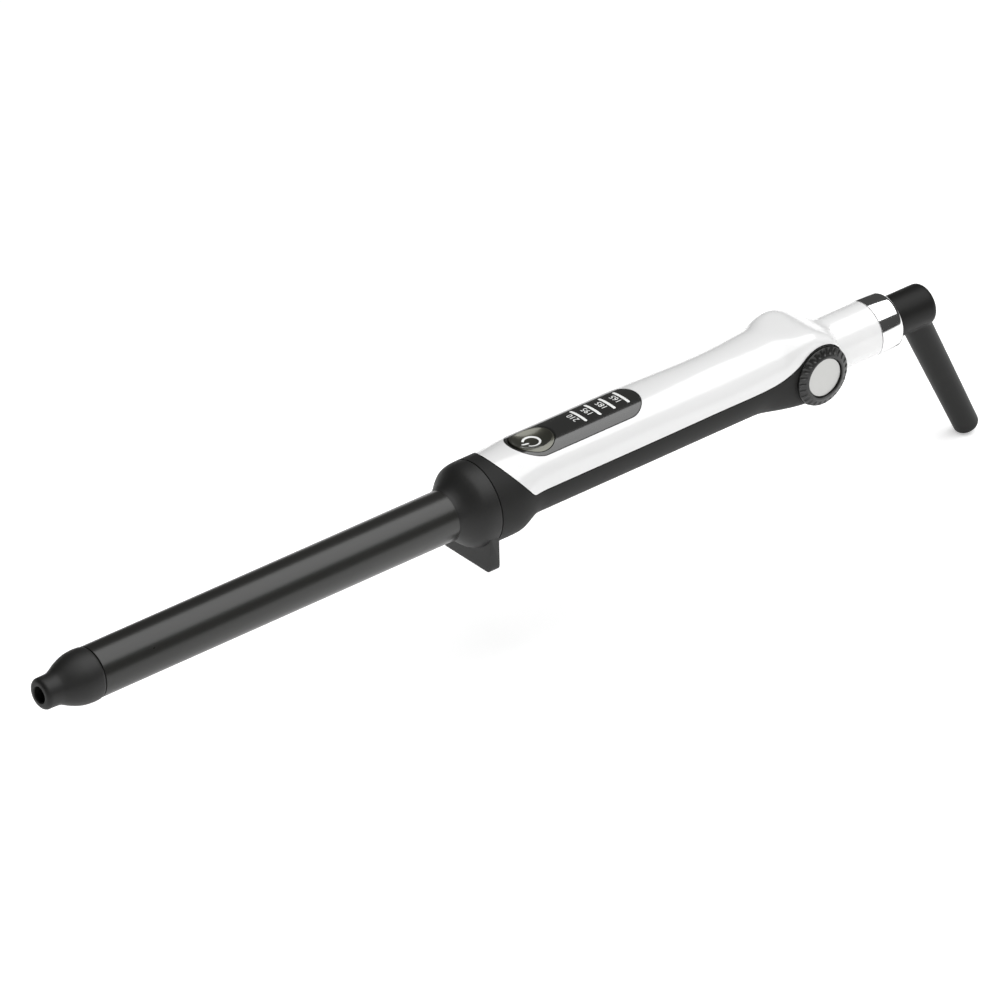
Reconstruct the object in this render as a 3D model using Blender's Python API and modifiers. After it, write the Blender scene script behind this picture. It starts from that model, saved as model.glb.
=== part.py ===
"""Curling iron: a heated round barrel on a handle with a stand foot, a display, a side dial and a cord elbow.

Metres, +Z up. The iron lies along X, its cool tip towards -X and its swivelling cord elbow towards +X. The origin
is the middle of the stand foot's flat underside. The pieces hang on an empty on the barrel's axis, so their own
numbers count from it.
"""
import math

import bmesh
import bpy
from mathutils import Matrix, Vector

MM = 0.001
GAP = 0.3 * MM                  # between two pieces that seat on each other
PROUD = 2.0 * MM                # how far a cutter runs past the face that it opens

# Barrel and tip, along the axis
BARREL_R = 9.5 * MM
BARREL_WALL = 1.2 * MM
BARREL_SHOWN = 156.3 * MM       # from the collar's mouth to the cool tip
TIP_LENGTH = 21.9 * MM
TIP_R = 9.85 * MM               # the cool tip's widest ring
TIP_NOSE_R = 5.85 * MM
TIP_HOLE_R = 3.1 * MM
TIP_HOLE_DEPTH = 9.0 * MM
TIP_SPIGOT = 8.0 * MM
TIP_PLUG_LENGTH = 6.0 * MM

# Collar and stand foot
FOOT_HEIGHT = 22.0 * MM         # from the foot's underside up to the barrel's axis
FOOT_WIDTH = 27.2 * MM
FOOT_THICK = 4.1 * MM
FOOT_CORNER = 2.4 * MM
COLLAR_LENGTH = 14.2 * MM
COLLAR_MOUTH_R = 10.0 * MM
SEAT_R = 12.9 * MM
SEAT_LENGTH = 16.0 * MM
SEAT_DEPTH = 4.4 * MM           # how far the barrel seat reaches into the collar

# Handle casing
BAND_R = 16.0 * MM              # the black band behind the collar
WALL = 1.8 * MM
GRIP_R = 14.2 * MM              # half the grip's width at the window
GRIP_TOP = 16.1 * MM            # the grip's top and bottom, counted from the barrel's axis
GRIP_BOTTOM = -11.9 * MM
GRIP_SQUARENESS = 2.5           # 2 is round, more is squarer
WAIST_R = 13.95 * MM            # half the width of the grip's slimmer rear
WAIST_TOP = 16.0 * MM
WAIST_SQUARENESS = 2.15
GRIP_START = 24.0 * MM
BULGE_HALF_WIDTH = 14.5 * MM
BULGE_TOP = 17.05 * MM
BULGE_BOTTOM = 12.4 * MM
BULGE_SQUARENESS_TOP = 5.9
BULGE_SQUARENESS_BELOW = 5.0
NECK_R = 10.75 * MM
NECK_START = 166.5 * MM
NECK_END = 183.1 * MM
SPLIT_HEIGHT = 3.0 * MM         # the line where the white and the black casing meet
SPLIT_TOP_X = 7.35 * MM         # where that line starts on top of the band
SPLIT_SLANT = 0.80              # how far it runs back for each step down
SPLIT_FILLET = 2.6 * MM

# Display window and power button
WINDOW_HALF_WIDTH = 9.9 * MM
WINDOW_FRONT = 28.45 * MM       # centre of the round front end, and of the button
WINDOW_REAR = 66.4 * MM        # centre of the round rear end
LENS_THICK = 1.6 * MM
BUTTON_R = WINDOW_HALF_WIDTH - 1.8 * MM
BUTTON_DISH = 2.0 * MM
BUTTON_DISH_SPHERE = 16.0 * MM
BUTTON_TRAVEL = 0.8 * MM
BAR_FIRST = 50.6 * MM
BAR_PITCH = 6.55 * MM
BAR_LENGTH = 9.4 * MM
BAR_THICK = 1.2 * MM
BAR_COUNT = 4

# Circuit board
BOARD_TOP = 4.5 * MM
BOARD_THICK = 1.6 * MM
BOARD_HALF_WIDTH = 9.0 * MM
BOARD_FRONT = 22.0 * MM
BOARD_REAR = 80.0 * MM
SWITCH_SIDE = 6.0 * MM
SWITCH_HEIGHT = 3.0 * MM
PLUNGER_R = 1.4 * MM
PLUNGER_STANDS = 1.2 * MM
BUTTON_UNDERSIDE = 12.0 * MM
STEM_R = 1.5 * MM
SPRING_R = 2.6 * MM
SPRING_WIRE = 0.5 * MM
SPRING_TURNS = 3

# Dial
DIAL_X = 150.65 * MM
DIAL_R = 11.4 * MM
DIAL_FACE_R = 8.6 * MM
DIAL_BASE = 14.9 * MM           # distance of the knob's underside from the middle plane
DIAL_RIM = 0.8 * MM
DIAL_HEIGHT = 2.2 * MM
DIAL_HUB_R = 6.0 * MM
DIAL_HUB_LENGTH = 4.4 * MM
BADGE_R = 7.4 * MM
BADGE_THICK = 0.5 * MM
BADGE_RECESS = 1.5 * MM
SPINDLE_R = 3.0 * MM
SELECTOR_SIZE = (10.0 * MM, 9.0 * MM, 13.0 * MM)
CHEEK_R = 11.7 * MM             # round black seat in the casing's side, under the knob
CHEEK_FACE = 14.6 * MM
DETENT_R = 5.4 * MM
DETENT_THICK = 2.0 * MM
DETENT_NOTCHES = 12
DETENT_NOTCH_R = 0.7 * MM

# Chrome ring, swivel and elbow
RING_R = 10.85 * MM
RING_LENGTH = 10.8 * MM
RING_SHOULDER = 2.4 * MM
JOURNAL_R = 6.1 * MM
BUSH_LENGTH = 9.0 * MM
CLIP_THICK = 0.8 * MM
GROOVE_DEPTH = 1.1 * MM
ELBOW_R = 7.95 * MM
ELBOW_LENGTH = 17.8 * MM
ELBOW_EDGE = 2.0 * MM
ARM_BACK_FROM_END = 7.4 * MM    # where the arm's centreline leaves the axis
ARM_LEAN = math.radians(25.0)
ARM_LENGTH = 66.2 * MM
ARM_ROOT_R = 5.6 * MM
ARM_END_R = 4.9 * MM
ARM_EDGE = 1.6 * MM
OUTLET_R = 3.5 * MM

# Fasteners and leads
SCREW_XS = (86.0 * MM, 126.0 * MM)
SCREW_R = 1.2 * MM
SCREW_HEAD_R = 2.4 * MM
SCREW_HEAD_THICK = 1.5 * MM
SCREW_LENGTH = 10.0 * MM
SCREW_SEAT = 9.5 * MM           # depth of the head's seat below the axis
BOSS_R = 4.2 * MM
BOSS_TOP = 7.0 * MM             # the lower boss ends this far below the axis
POST_R = 2.8 * MM
LEAD_R = 0.8 * MM

# Places that follow from the sizes above
SEAM_X = FOOT_THICK / 2
MOUTH_X = SEAM_X - COLLAR_LENGTH
BAND_FRONT = SEAM_X + GAP
TIP_SEAM_X = MOUTH_X - BARREL_SHOWN
TIP_X = TIP_SEAM_X - TIP_LENGTH
BARREL_BORE = BARREL_R - BARREL_WALL
FIT_R = BARREL_BORE - GAP       # outside of what slides into the barrel
BARREL_REAR = SEAM_X + 10.0 * MM
RING_X = NECK_END + GAP
ELBOW_X = RING_X + RING_LENGTH + GAP
ELBOW_END = ELBOW_X + ELBOW_LENGTH
ARM_X = ELBOW_END - ARM_BACK_FROM_END
DIAL_FACE = DIAL_BASE + DIAL_HEIGHT
SPLIT_DIAL_R = CHEEK_R + GAP / 2
BUSH_REAR = RING_X - 3.0 * MM - GAP
BUSH_FRONT = BUSH_REAR - BUSH_LENGTH
CLIP_X = BUSH_FRONT - GAP - CLIP_THICK
JOURNAL_FRONT = CLIP_X - 2.0 * MM
BUSH_R = NECK_R - WALL - GAP

MATERIALS = {}


def finish(name, colour, roughness, metallic=0.0, alpha=1.0):
    """One Principled material, made once."""
    if name not in MATERIALS:
        made = bpy.data.materials.new(name)
        made.use_nodes = True
        shader = made.node_tree.nodes["Principled BSDF"]
        shader.inputs["Base Color"].default_value = (*colour, 1.0)
        shader.inputs["Roughness"].default_value = roughness
        shader.inputs["Metallic"].default_value = metallic
        shader.inputs["Alpha"].default_value = alpha
        MATERIALS[name] = made
    return MATERIALS[name]


BLACK = ("black_plastic", (0.022, 0.022, 0.021), 0.55)
WHITE = ("white_casing", (0.86, 0.86, 0.86), 0.18)
COATING = ("barrel_coating", (0.045, 0.045, 0.043), 0.38, 0.6)
CHROME = ("chrome", (0.82, 0.82, 0.82), 0.06, 1.0)
SMOKED = ("smoked_window", (0.02, 0.02, 0.02), 0.08, 0.0, 0.9)
SILVER = ("silver_disc", (0.72, 0.72, 0.72), 0.30, 1.0)
BUTTON = ("button_plastic", (0.03, 0.03, 0.03), 0.30)
ALUMINIUM = ("aluminium", (0.70, 0.70, 0.70), 0.40, 1.0)
CERAMIC = ("white_ceramic", (0.80, 0.78, 0.72), 0.60)
FILM = ("amber_film", (0.55, 0.28, 0.06), 0.35)
RESIN = ("brown_resin", (0.20, 0.12, 0.07), 0.60)
BOARD = ("green_board", (0.03, 0.22, 0.08), 0.45)
STEEL = ("steel", (0.60, 0.60, 0.60), 0.30, 1.0)
BRASS = ("brass", (0.72, 0.53, 0.22), 0.28, 1.0)
LAMP = ("lamp_plastic", (0.90, 0.88, 0.80), 0.35)
LEAD_RED = ("red_lead", (0.45, 0.04, 0.03), 0.50)
LEAD_BLUE = ("blue_lead", (0.04, 0.08, 0.40), 0.50)


def collection(name):
    made = bpy.data.collections.new(name)
    bpy.context.scene.collection.children.link(made)
    return made


def place(obj, parent, where=(0.0, 0.0, 0.0), turn=(0.0, 0.0, 0.0)):
    obj.parent = parent
    obj.location = where
    obj.rotation_euler = turn
    return obj


def add_piece(name, mesh, look, parent, where=(0.0, 0.0, 0.0), turn=(0.0, 0.0, 0.0)):
    """Puts one sub-part of the iron in the scene, smooth where it is round."""
    mesh.shade_smooth()
    mesh.set_sharp_from_angle(angle=math.radians(35))
    mesh.materials.append(finish(*look))
    obj = bpy.data.objects.new(name, mesh)
    PARTS.objects.link(obj)
    return place(obj, parent, where, turn)


def add_cutter(name, mesh, parent, where=(0.0, 0.0, 0.0), turn=(0.0, 0.0, 0.0)):
    """A shape that only cuts or joins."""
    obj = bpy.data.objects.new(name, mesh)
    CUTTERS.objects.link(obj)
    obj.hide_render = True
    obj.display_type = "WIRE"
    return place(obj, parent, where, turn)


def boolean(obj, operation, *cutters, solver="EXACT"):
    for cutter in cutters:
        step = obj.modifiers.new(cutter.name, "BOOLEAN")
        step.operation = operation
        step.solver = solver
        step.object = cutter


def mesh_of(name, bm):
    bmesh.ops.recalc_face_normals(bm, faces=bm.faces)
    mesh = bpy.data.meshes.new(name)
    bm.to_mesh(mesh)
    bm.free()
    return mesh


TURN = {
    "X": (0.0, math.radians(90), 0.0),
    "Y": (math.radians(-90), 0.0, 0.0),
    "-Y": (math.radians(90), 0.0, 0.0),
    "Z": (0.0, 0.0, 0.0),
}


def add_screw(obj, segments):
    turn = obj.modifiers.new("turn", "SCREW")
    turn.axis = "Z"
    turn.angle = math.tau
    turn.steps = segments
    turn.render_steps = segments
    turn.use_merge_vertices = True
    turn.merge_threshold = 0.00001
    turn.use_smooth_shade = True


def profile_mesh(name, profile, closed):
    """Edges of a profile of (along, radius) pairs, from the + end down the outer side."""
    points = [(radius, 0.0, along) for along, radius in profile]
    edges = [(i, i + 1) for i in range(len(points) - 1)]
    if closed:
        edges.append((len(points) - 1, 0))
    mesh = bpy.data.meshes.new(name)
    mesh.from_pydata(points, edges, [])
    return mesh


def turned(name, profile, look, parent, where=(0.0, 0.0, 0.0), axis="X", segments=40, bored=False):
    """A turned piece. A bored one has a profile that comes back up its bore."""
    obj = add_piece(name, profile_mesh(name, profile, bored), look, parent, where, TURN[axis])
    add_screw(obj, segments)
    return obj


def turned_cutter(name, profile, parent, where=(0.0, 0.0, 0.0), axis="X", segments=40, turn=None):
    obj = add_cutter(name, profile_mesh(name, profile, False), parent, where, turn or TURN[axis])
    add_screw(obj, segments)
    return obj


def rod(end, start, radius):
    """Profile of a plain round bar."""
    return [(end, 0.0), (end, radius), (start, radius), (start, 0.0)]


def tube(end, start, radius, bore):
    """Profile of a plain ring or tube."""
    return [(end, radius), (start, radius), (start, bore), (end, bore)]


def edge_arc(along, radius, size, first, last, steps=3):
    """Points of a rounded edge round the centre (along, radius), in degrees, 0 being the + end and 90 outwards."""
    points = []
    for i in range(steps + 1):
        angle = math.radians(first + (last - first) * i / steps)
        points.append((along + size * math.cos(angle), radius + size * math.sin(angle)))
    return points


def block_mesh(name, size):
    bm = bmesh.new()
    bmesh.ops.create_cube(bm, size=1.0)
    bmesh.ops.scale(bm, vec=size, verts=bm.verts)
    return mesh_of(name, bm)


def block(name, low, high, look, parent):
    """A box between two corners."""
    low, high = Vector(low), Vector(high)
    return add_piece(name, block_mesh(name, high - low), look, parent, (low + high) / 2)


def block_cutter(name, low, high, parent):
    low, high = Vector(low), Vector(high)
    return add_cutter(name, block_mesh(name, high - low), parent, (low + high) / 2)


def curve_mesh(name, curve):
    """The closed mesh of a curve object."""
    guide = bpy.data.objects.new(name, curve)
    bpy.context.scene.collection.objects.link(guide)
    depsgraph = bpy.context.evaluated_depsgraph_get()
    raw = bpy.data.meshes.new_from_object(guide.evaluated_get(depsgraph))
    bm = bmesh.new()
    bm.from_mesh(raw)
    bmesh.ops.remove_doubles(bm, verts=bm.verts, dist=0.000001)
    bpy.data.objects.remove(guide)
    bpy.data.meshes.remove(raw)
    return mesh_of(name, bm)


def outline_mesh(name, outline, thickness):
    """A flat outline in the XY plane, thickened both ways."""
    curve = bpy.data.curves.new(name, "CURVE")
    curve.dimensions = "2D"
    curve.fill_mode = "BOTH"
    curve.extrude = thickness / 2
    spline = curve.splines.new("POLY")
    spline.points.add(len(outline) - 1)
    for point, (u, v) in zip(spline.points, outline):
        point.co = (u, v, 0.0, 1.0)
    spline.use_cyclic_u = True
    return curve_mesh(name, curve)


def wire_mesh(name, points, radius, rounds=2):
    """A round wire through the points."""
    curve = bpy.data.curves.new(name, "CURVE")
    curve.dimensions = "3D"
    curve.bevel_depth = radius
    curve.bevel_resolution = rounds
    curve.use_fill_caps = True
    spline = curve.splines.new("POLY")
    spline.points.add(len(points) - 1)
    for point, place_at in zip(spline.points, points):
        point.co = (*place_at, 1.0)
    return curve_mesh(name, curve)


def smooth_route(route, steps=3):
    """A smooth curve through a route's points, with its first and last stretches straight."""
    ends = [Vector(point) for point in route]
    points = [ends[0]]
    for a, b, c, d in zip(ends, ends[1:], ends[2:], ends[3:]):
        for i in range(steps):
            t = i / steps
            points.append(0.5 * (2 * b + (c - a) * t + (2 * a - 5 * b + 4 * c - d) * t ** 2
                                 + (3 * b - a - 3 * c + d) * t ** 3))
    points += [ends[-2], ends[-1]]
    return points


def arc_2d(centre, radius, first, last, steps):
    """Points of an arc, in degrees anticlockwise."""
    points = []
    for i in range(steps + 1):
        angle = math.radians(first + (last - first) * i / steps)
        points.append((centre[0] + radius * math.cos(angle), centre[1] + radius * math.sin(angle)))
    return points


# The casing's outer shape: a section that changes along the handle

def track(keys, x):
    """A value that eases from key to key."""
    if x <= keys[0][0]:
        return keys[0][1]
    for (x0, v0), (x1, v1) in zip(keys, keys[1:]):
        if x <= x1:
            t = (x - x0) / (x1 - x0)
            return v0 + (v1 - v0) * t * t * (3 - 2 * t)
    return keys[-1][1]


BAND_REAR = GRIP_START - 14.0 * MM
WAIST_X = DIAL_X - 42.0 * MM
HALF_WIDTHS = [(BAND_REAR, BAND_R), (GRIP_START, GRIP_R), (WINDOW_REAR, GRIP_R), (WAIST_X, WAIST_R),
               (DIAL_X - 30.0 * MM, WAIST_R), (DIAL_X - 8.0 * MM, BULGE_HALF_WIDTH),
               (DIAL_X + 9.5 * MM, BULGE_HALF_WIDTH), (NECK_START - 3.0 * MM, NECK_R)]
TOPS = [(BAND_REAR, BAND_R), (GRIP_START + 4.0 * MM, GRIP_TOP), (WINDOW_REAR, GRIP_TOP), (WAIST_X, WAIST_TOP),
        (DIAL_X - 30.0 * MM, WAIST_TOP), (DIAL_X - 3.0 * MM, BULGE_TOP), (NECK_START - 1.9 * MM, NECK_R)]
BOTTOMS = [(BAND_REAR + 3.5 * MM, -BAND_R), (GRIP_START - 1.0 * MM, GRIP_BOTTOM), (DIAL_X - 16.0 * MM, GRIP_BOTTOM),
           (DIAL_X, -BULGE_BOTTOM), (NECK_START, -NECK_R)]
# the section's upper half turns squarer at the dial than its lower half, and later
SQUARENESS_TOP = [(BAND_REAR, 2.0), (GRIP_START, GRIP_SQUARENESS), (WINDOW_REAR, GRIP_SQUARENESS),
                  (WAIST_X, WAIST_SQUARENESS), (DIAL_X - 16.0 * MM, GRIP_SQUARENESS),
                  (DIAL_X - 3.3 * MM, BULGE_SQUARENESS_TOP), (DIAL_X + 5.1 * MM, BULGE_SQUARENESS_TOP),
                  (DIAL_X + 13.0 * MM, 2.0)]
SQUARENESS_BELOW = [(DIAL_X - 26.0 * MM, 2.0), (DIAL_X - 2.0 * MM, BULGE_SQUARENESS_BELOW),
                    (DIAL_X + 5.0 * MM, BULGE_SQUARENESS_BELOW), (NECK_START, 2.0)]


def section(x, inset, count):
    """One ring of the casing at x, drawn in by inset."""
    half = track(HALF_WIDTHS, x) - inset
    top = track(TOPS, x) - inset
    bottom = track(BOTTOMS, x) + inset
    power_top, power_below = 2.0 / track(SQUARENESS_TOP, x), 2.0 / track(SQUARENESS_BELOW, x)
    middle, height = (top + bottom) / 2, (top - bottom) / 2
    ring = []
    for i in range(count):
        angle = math.tau * (i + 0.5) / count
        c, s = math.cos(angle), math.sin(angle)
        power = power_top if s > 0.0 else power_below
        ring.append((x, half * math.copysign(abs(c) ** power, c),
                     middle + height * math.copysign(abs(s) ** power, s)))
    return ring


def section_height(y, inset):
    """How high the grip's section stands at the window, y away from its middle."""
    middle = (GRIP_TOP + GRIP_BOTTOM) / 2
    share = 1.0 - (abs(y) / (GRIP_R - inset)) ** GRIP_SQUARENESS
    return middle + (GRIP_TOP - inset - middle) * share ** (1.0 / GRIP_SQUARENESS)


def casing_blank(name, inset, start, end, count=32, step=6.0 * MM):
    """A closed solid of the casing's shape from start to end, with rings only where the shape changes."""
    keys = {start, end}
    for keyed in (HALF_WIDTHS, TOPS, BOTTOMS, SQUARENESS_TOP, SQUARENESS_BELOW):
        for (x0, v0), (x1, v1) in zip(keyed, keyed[1:]):
            pieces = max(1, round((x1 - x0) / step)) if v0 != v1 else 1
            keys.update(x0 + (x1 - x0) * i / pieces for i in range(pieces + 1))
    stations = []
    for x in sorted(k for k in keys if start <= k <= end):
        if not stations or x - stations[-1] > step / 2 or x == end:
            stations.append(x)
    bm = bmesh.new()
    rings = [[bm.verts.new(point) for point in section(x, inset, count)] for x in stations]
    for a, b in zip(rings, rings[1:]):
        for i in range(len(a)):
            j = (i + 1) % len(a)
            bm.faces.new((a[i], a[j], b[j], b[i]))
    bm.faces.new(rings[0])
    bm.faces.new(rings[-1])
    bmesh.ops.triangulate(bm, faces=bm.faces)
    return mesh_of(name, bm)


def split_line():
    """Side view of the joint between the two casings, from above the band to below the neck, as (x, z) points."""
    reach = BAND_R + 6.0 * MM
    top = (SPLIT_TOP_X - (reach - BAND_R) * SPLIT_SLANT, reach)
    corner_x = SPLIT_TOP_X + (BAND_R - SPLIT_HEIGHT) * SPLIT_SLANT
    lean = math.degrees(math.atan2(1.0, SPLIT_SLANT))
    turn = 180.0 - lean
    setback = SPLIT_FILLET / math.tan(math.radians(turn / 2))
    fillet_x = corner_x + setback
    fillet = arc_2d((fillet_x, SPLIT_HEIGHT + SPLIT_FILLET), SPLIT_FILLET, 270.0 - lean, 270.0, 5)
    # the line leaves the straight run in a smooth curve that meets the round dial seat at its front upper side
    leave = math.radians(128.0)
    meet = Vector((DIAL_X + SPLIT_DIAL_R * math.cos(leave), SPLIT_DIAL_R * math.sin(leave)))
    along = Vector((math.sin(leave), -math.cos(leave)))
    start = Vector((DIAL_X - 46.0 * MM, SPLIT_HEIGHT))
    reach_in, reach_out = 20.0 * MM, 12.0 * MM
    sweep = []
    for i in range(11):
        t = i / 10
        p0, p1 = start, start + Vector((reach_in, 0.0))
        p2, p3 = meet - along * reach_out, meet
        sweep.append(tuple(p0 * (1 - t) ** 3 + p1 * 3 * t * (1 - t) ** 2 + p2 * 3 * t ** 2 * (1 - t) + p3 * t ** 3))
    rear = arc_2d((DIAL_X, 0.0), SPLIT_DIAL_R, 128.0, -35.0, 22)[1:]
    drop = BAND_R + 6.0 * MM + rear[-1][1]
    last = (rear[-1][0] - drop * math.tan(math.radians(35.0)), -(BAND_R + 6.0 * MM))
    return [top] + fillet + sweep + rear + [last]


def moved_aside(points, distance):
    """The line moved to its left by distance."""
    moved = []
    for i, point in enumerate(points):
        here = Vector(point)
        before = Vector(points[max(i - 1, 0)])
        after = Vector(points[min(i + 1, len(points) - 1)])
        ahead = (after - before).normalized()
        moved.append(tuple(here + Vector((-ahead.y, ahead.x)) * distance))
    return moved


# Start of the model

for old in list(bpy.data.objects):
    bpy.data.objects.remove(old)
PARTS = collection("curling_iron")
CUTTERS = collection("cutters")


def axis_empty(name, where, parent=None):
    empty = bpy.data.objects.new(name, None)
    PARTS.objects.link(empty)
    return place(empty, parent, where)


AXIS = axis_empty("barrel_axis", (0.0, 0.0, FOOT_HEIGHT))
PRESS = axis_empty("button_axis", (WINDOW_FRONT, 0.0, 0.0), AXIS)
DIAL = axis_empty("dial_axis", (DIAL_X, 0.0, 0.0), AXIS)
SWIVEL = axis_empty("swivel_axis", (ELBOW_X, 0.0, 0.0), AXIS)


def make_barrel():
    """Coated tube with the heater clamped between two half-round shoes."""
    turned("barrel_tube", tube(BARREL_REAR, TIP_SEAM_X + GAP, BARREL_R, BARREL_BORE), COATING, AXIS, bored=True)
    heater_front = TIP_SEAM_X + TIP_SPIGOT + TIP_PLUG_LENGTH + 6.0 * MM
    heater_rear = MOUTH_X - 8.0 * MM
    shoe_gap = 1.6 * MM
    side = math.sqrt(FIT_R ** 2 - shoe_gap ** 2)
    first = math.degrees(math.asin(shoe_gap / FIT_R))
    for name, turn in (("heater_shoe_upper", 0.0), ("heater_shoe_lower", 180.0)):
        outline = arc_2d((0.0, 0.0), FIT_R, first, 180.0 - first, 14)
        mesh = outline_mesh(name, outline, heater_rear - heater_front)
        add_piece(name, mesh, ALUMINIUM, AXIS, ((heater_front + heater_rear) / 2, 0.0, 0.0),
                  (math.radians(90 + turn), 0.0, math.radians(90)))
    film = 0.35 * MM
    half_high = shoe_gap - GAP
    half_wide = side - 1.6 * MM
    wrap_front, wrap_rear = heater_front + 2.0 * MM, heater_rear - 6.0 * MM
    wrap = block("heater_wrap", (wrap_front, -half_wide, -half_high), (wrap_rear, half_wide, half_high), FILM, AXIS)
    hollow = block_cutter("wrap_hollow", (wrap_front - PROUD, film - half_wide, film - half_high),
                          (wrap_rear + PROUD, half_wide - film, half_high - film), AXIS)
    boolean(wrap, "DIFFERENCE", hollow)
    strip_half = half_high - film - GAP
    block("ceramic_heater", (wrap_front + 1.0 * MM, film + GAP - half_wide, -strip_half),
          (wrap_rear - 1.0 * MM, half_wide - film - GAP, strip_half), CERAMIC, AXIS)
    bead_r = 0.9 * MM
    turned("thermistor", rod(wrap_rear + 4.6 * MM, wrap_rear + GAP, bead_r), LAMP, AXIS, segments=16)


def make_tip():
    """Moulded cap that stays cool, held to a plug in the barrel by a screw down its end hole."""
    seam = TIP_SEAM_X
    neck_in = TIP_X + 7.6 * MM
    profile = [(seam + TIP_SPIGOT, 1.5 * MM), (seam + TIP_SPIGOT, FIT_R), (seam, FIT_R), (seam, BARREL_R),
               (seam - 0.9 * MM, TIP_R - 0.1 * MM), (seam - 3.0 * MM, TIP_R), (seam - 6.2 * MM, TIP_R - 0.25 * MM),
               (seam - 8.9 * MM, TIP_R - 0.95 * MM), (seam - 11.4 * MM, TIP_R - 1.9 * MM),
               (seam - 13.6 * MM, TIP_R - 3.1 * MM), (neck_in, TIP_NOSE_R + 0.3 * MM),
               (TIP_X + 4.0 * MM, TIP_NOSE_R)]
    profile += edge_arc(TIP_X + 1.7 * MM, TIP_NOSE_R - 1.7 * MM, 1.7 * MM, 90, 180)
    profile += [(TIP_X, TIP_HOLE_R), (TIP_X + TIP_HOLE_DEPTH, TIP_HOLE_R), (TIP_X + TIP_HOLE_DEPTH, 1.5 * MM)]
    turned("cool_tip", profile, BLACK, AXIS, bored=True, segments=28)
    plug_front = seam + TIP_SPIGOT + GAP
    turned("tip_plug", tube(plug_front + TIP_PLUG_LENGTH, plug_front, FIT_R, 1.5 * MM), RESIN, AXIS, bored=True,
           segments=24)
    head_front = TIP_X + TIP_HOLE_DEPTH - GAP - 1.6 * MM
    screw = [(plug_front + TIP_PLUG_LENGTH - 1.0 * MM, 0.0), (plug_front + TIP_PLUG_LENGTH - 1.0 * MM, SCREW_R),
             (head_front + 1.6 * MM, SCREW_R), (head_front + 1.6 * MM, SCREW_HEAD_R),
             (head_front + 0.4 * MM, SCREW_HEAD_R), (head_front, SCREW_HEAD_R - 0.5 * MM), (head_front, 0.0)]
    turned("tip_screw", screw, STEEL, AXIS, segments=24)


def make_collar():
    """Bell-shaped collar and stand foot in one heat-resistant moulding, with the seat that holds the barrel."""
    flare = BAND_R - COLLAR_MOUTH_R
    profile = [(SEAM_X, BAND_R)]
    for share, rise in ((0.14, 0.99), (0.30, 0.93), (0.44, 0.79), (0.56, 0.58), (0.68, 0.33), (0.80, 0.15),
                        (0.90, 0.045)):
        profile.append((SEAM_X - share * COLLAR_LENGTH, COLLAR_MOUTH_R + rise * flare))
    bore = BARREL_R + GAP
    pocket = SEAM_X - SEAT_DEPTH
    profile += [(MOUTH_X + 0.5 * MM, COLLAR_MOUTH_R + 0.15 * MM), (MOUTH_X, COLLAR_MOUTH_R - 0.1 * MM),
                (MOUTH_X, bore), (pocket, bore), (pocket, SEAT_R + GAP), (SEAM_X, SEAT_R + GAP)]
    collar = turned("front_collar", profile, BLACK, AXIS, bored=True, segments=36)
    half, corner = FOOT_WIDTH / 2, FOOT_CORNER
    low = -FOOT_HEIGHT
    outline = [(half, -8.0 * MM), (half, low + corner)]
    outline += arc_2d((half - corner, low + corner), corner, 0.0, -90.0, 5)[1:]
    outline += arc_2d((corner - half, low + corner), corner, -90.0, -180.0, 5)
    outline += [(-half, -8.0 * MM)]
    # the foot's top follows the seat's pocket, so that it adds nothing inside
    keep = SEAT_R + 1.2 * MM
    reach = math.degrees(math.asin(8.0 * MM / keep))
    outline += arc_2d((0.0, 0.0), keep, 180.0 + reach, 360.0 - reach, 12)
    foot = add_cutter("foot_plate", outline_mesh("foot_plate", outline, FOOT_THICK - 0.04 * MM), AXIS,
                      (0.0, 0.0, 0.0), (math.radians(90), 0.0, math.radians(90)))
    boolean(collar, "UNION", foot)
    seat_rear = SEAM_X - SEAT_DEPTH + SEAT_LENGTH
    seat_front = pocket + GAP
    flange = BAND_R - WALL - GAP
    seat = [(seat_rear, SEAT_R - 1.5 * MM), (BAND_FRONT + 5.0 * MM, SEAT_R - 1.5 * MM),
            (BAND_FRONT + 5.0 * MM, flange), (BAND_FRONT + 1.0 * MM, flange),
            (BAND_FRONT + 1.0 * MM, SEAT_R), (seat_front, SEAT_R),
            (seat_front, bore), (seat_rear, bore)]
    turned("barrel_seat", seat, RESIN, AXIS, bored=True, segments=32)


def side_prism(name, outline, width):
    """An outline in the XZ plane, carried across the handle."""
    quarter_turn = (math.radians(90), 0.0, 0.0)
    return add_cutter(name, outline_mesh(name, outline, width), AXIS, (0.0, 0.0, 0.0), quarter_turn)


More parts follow.
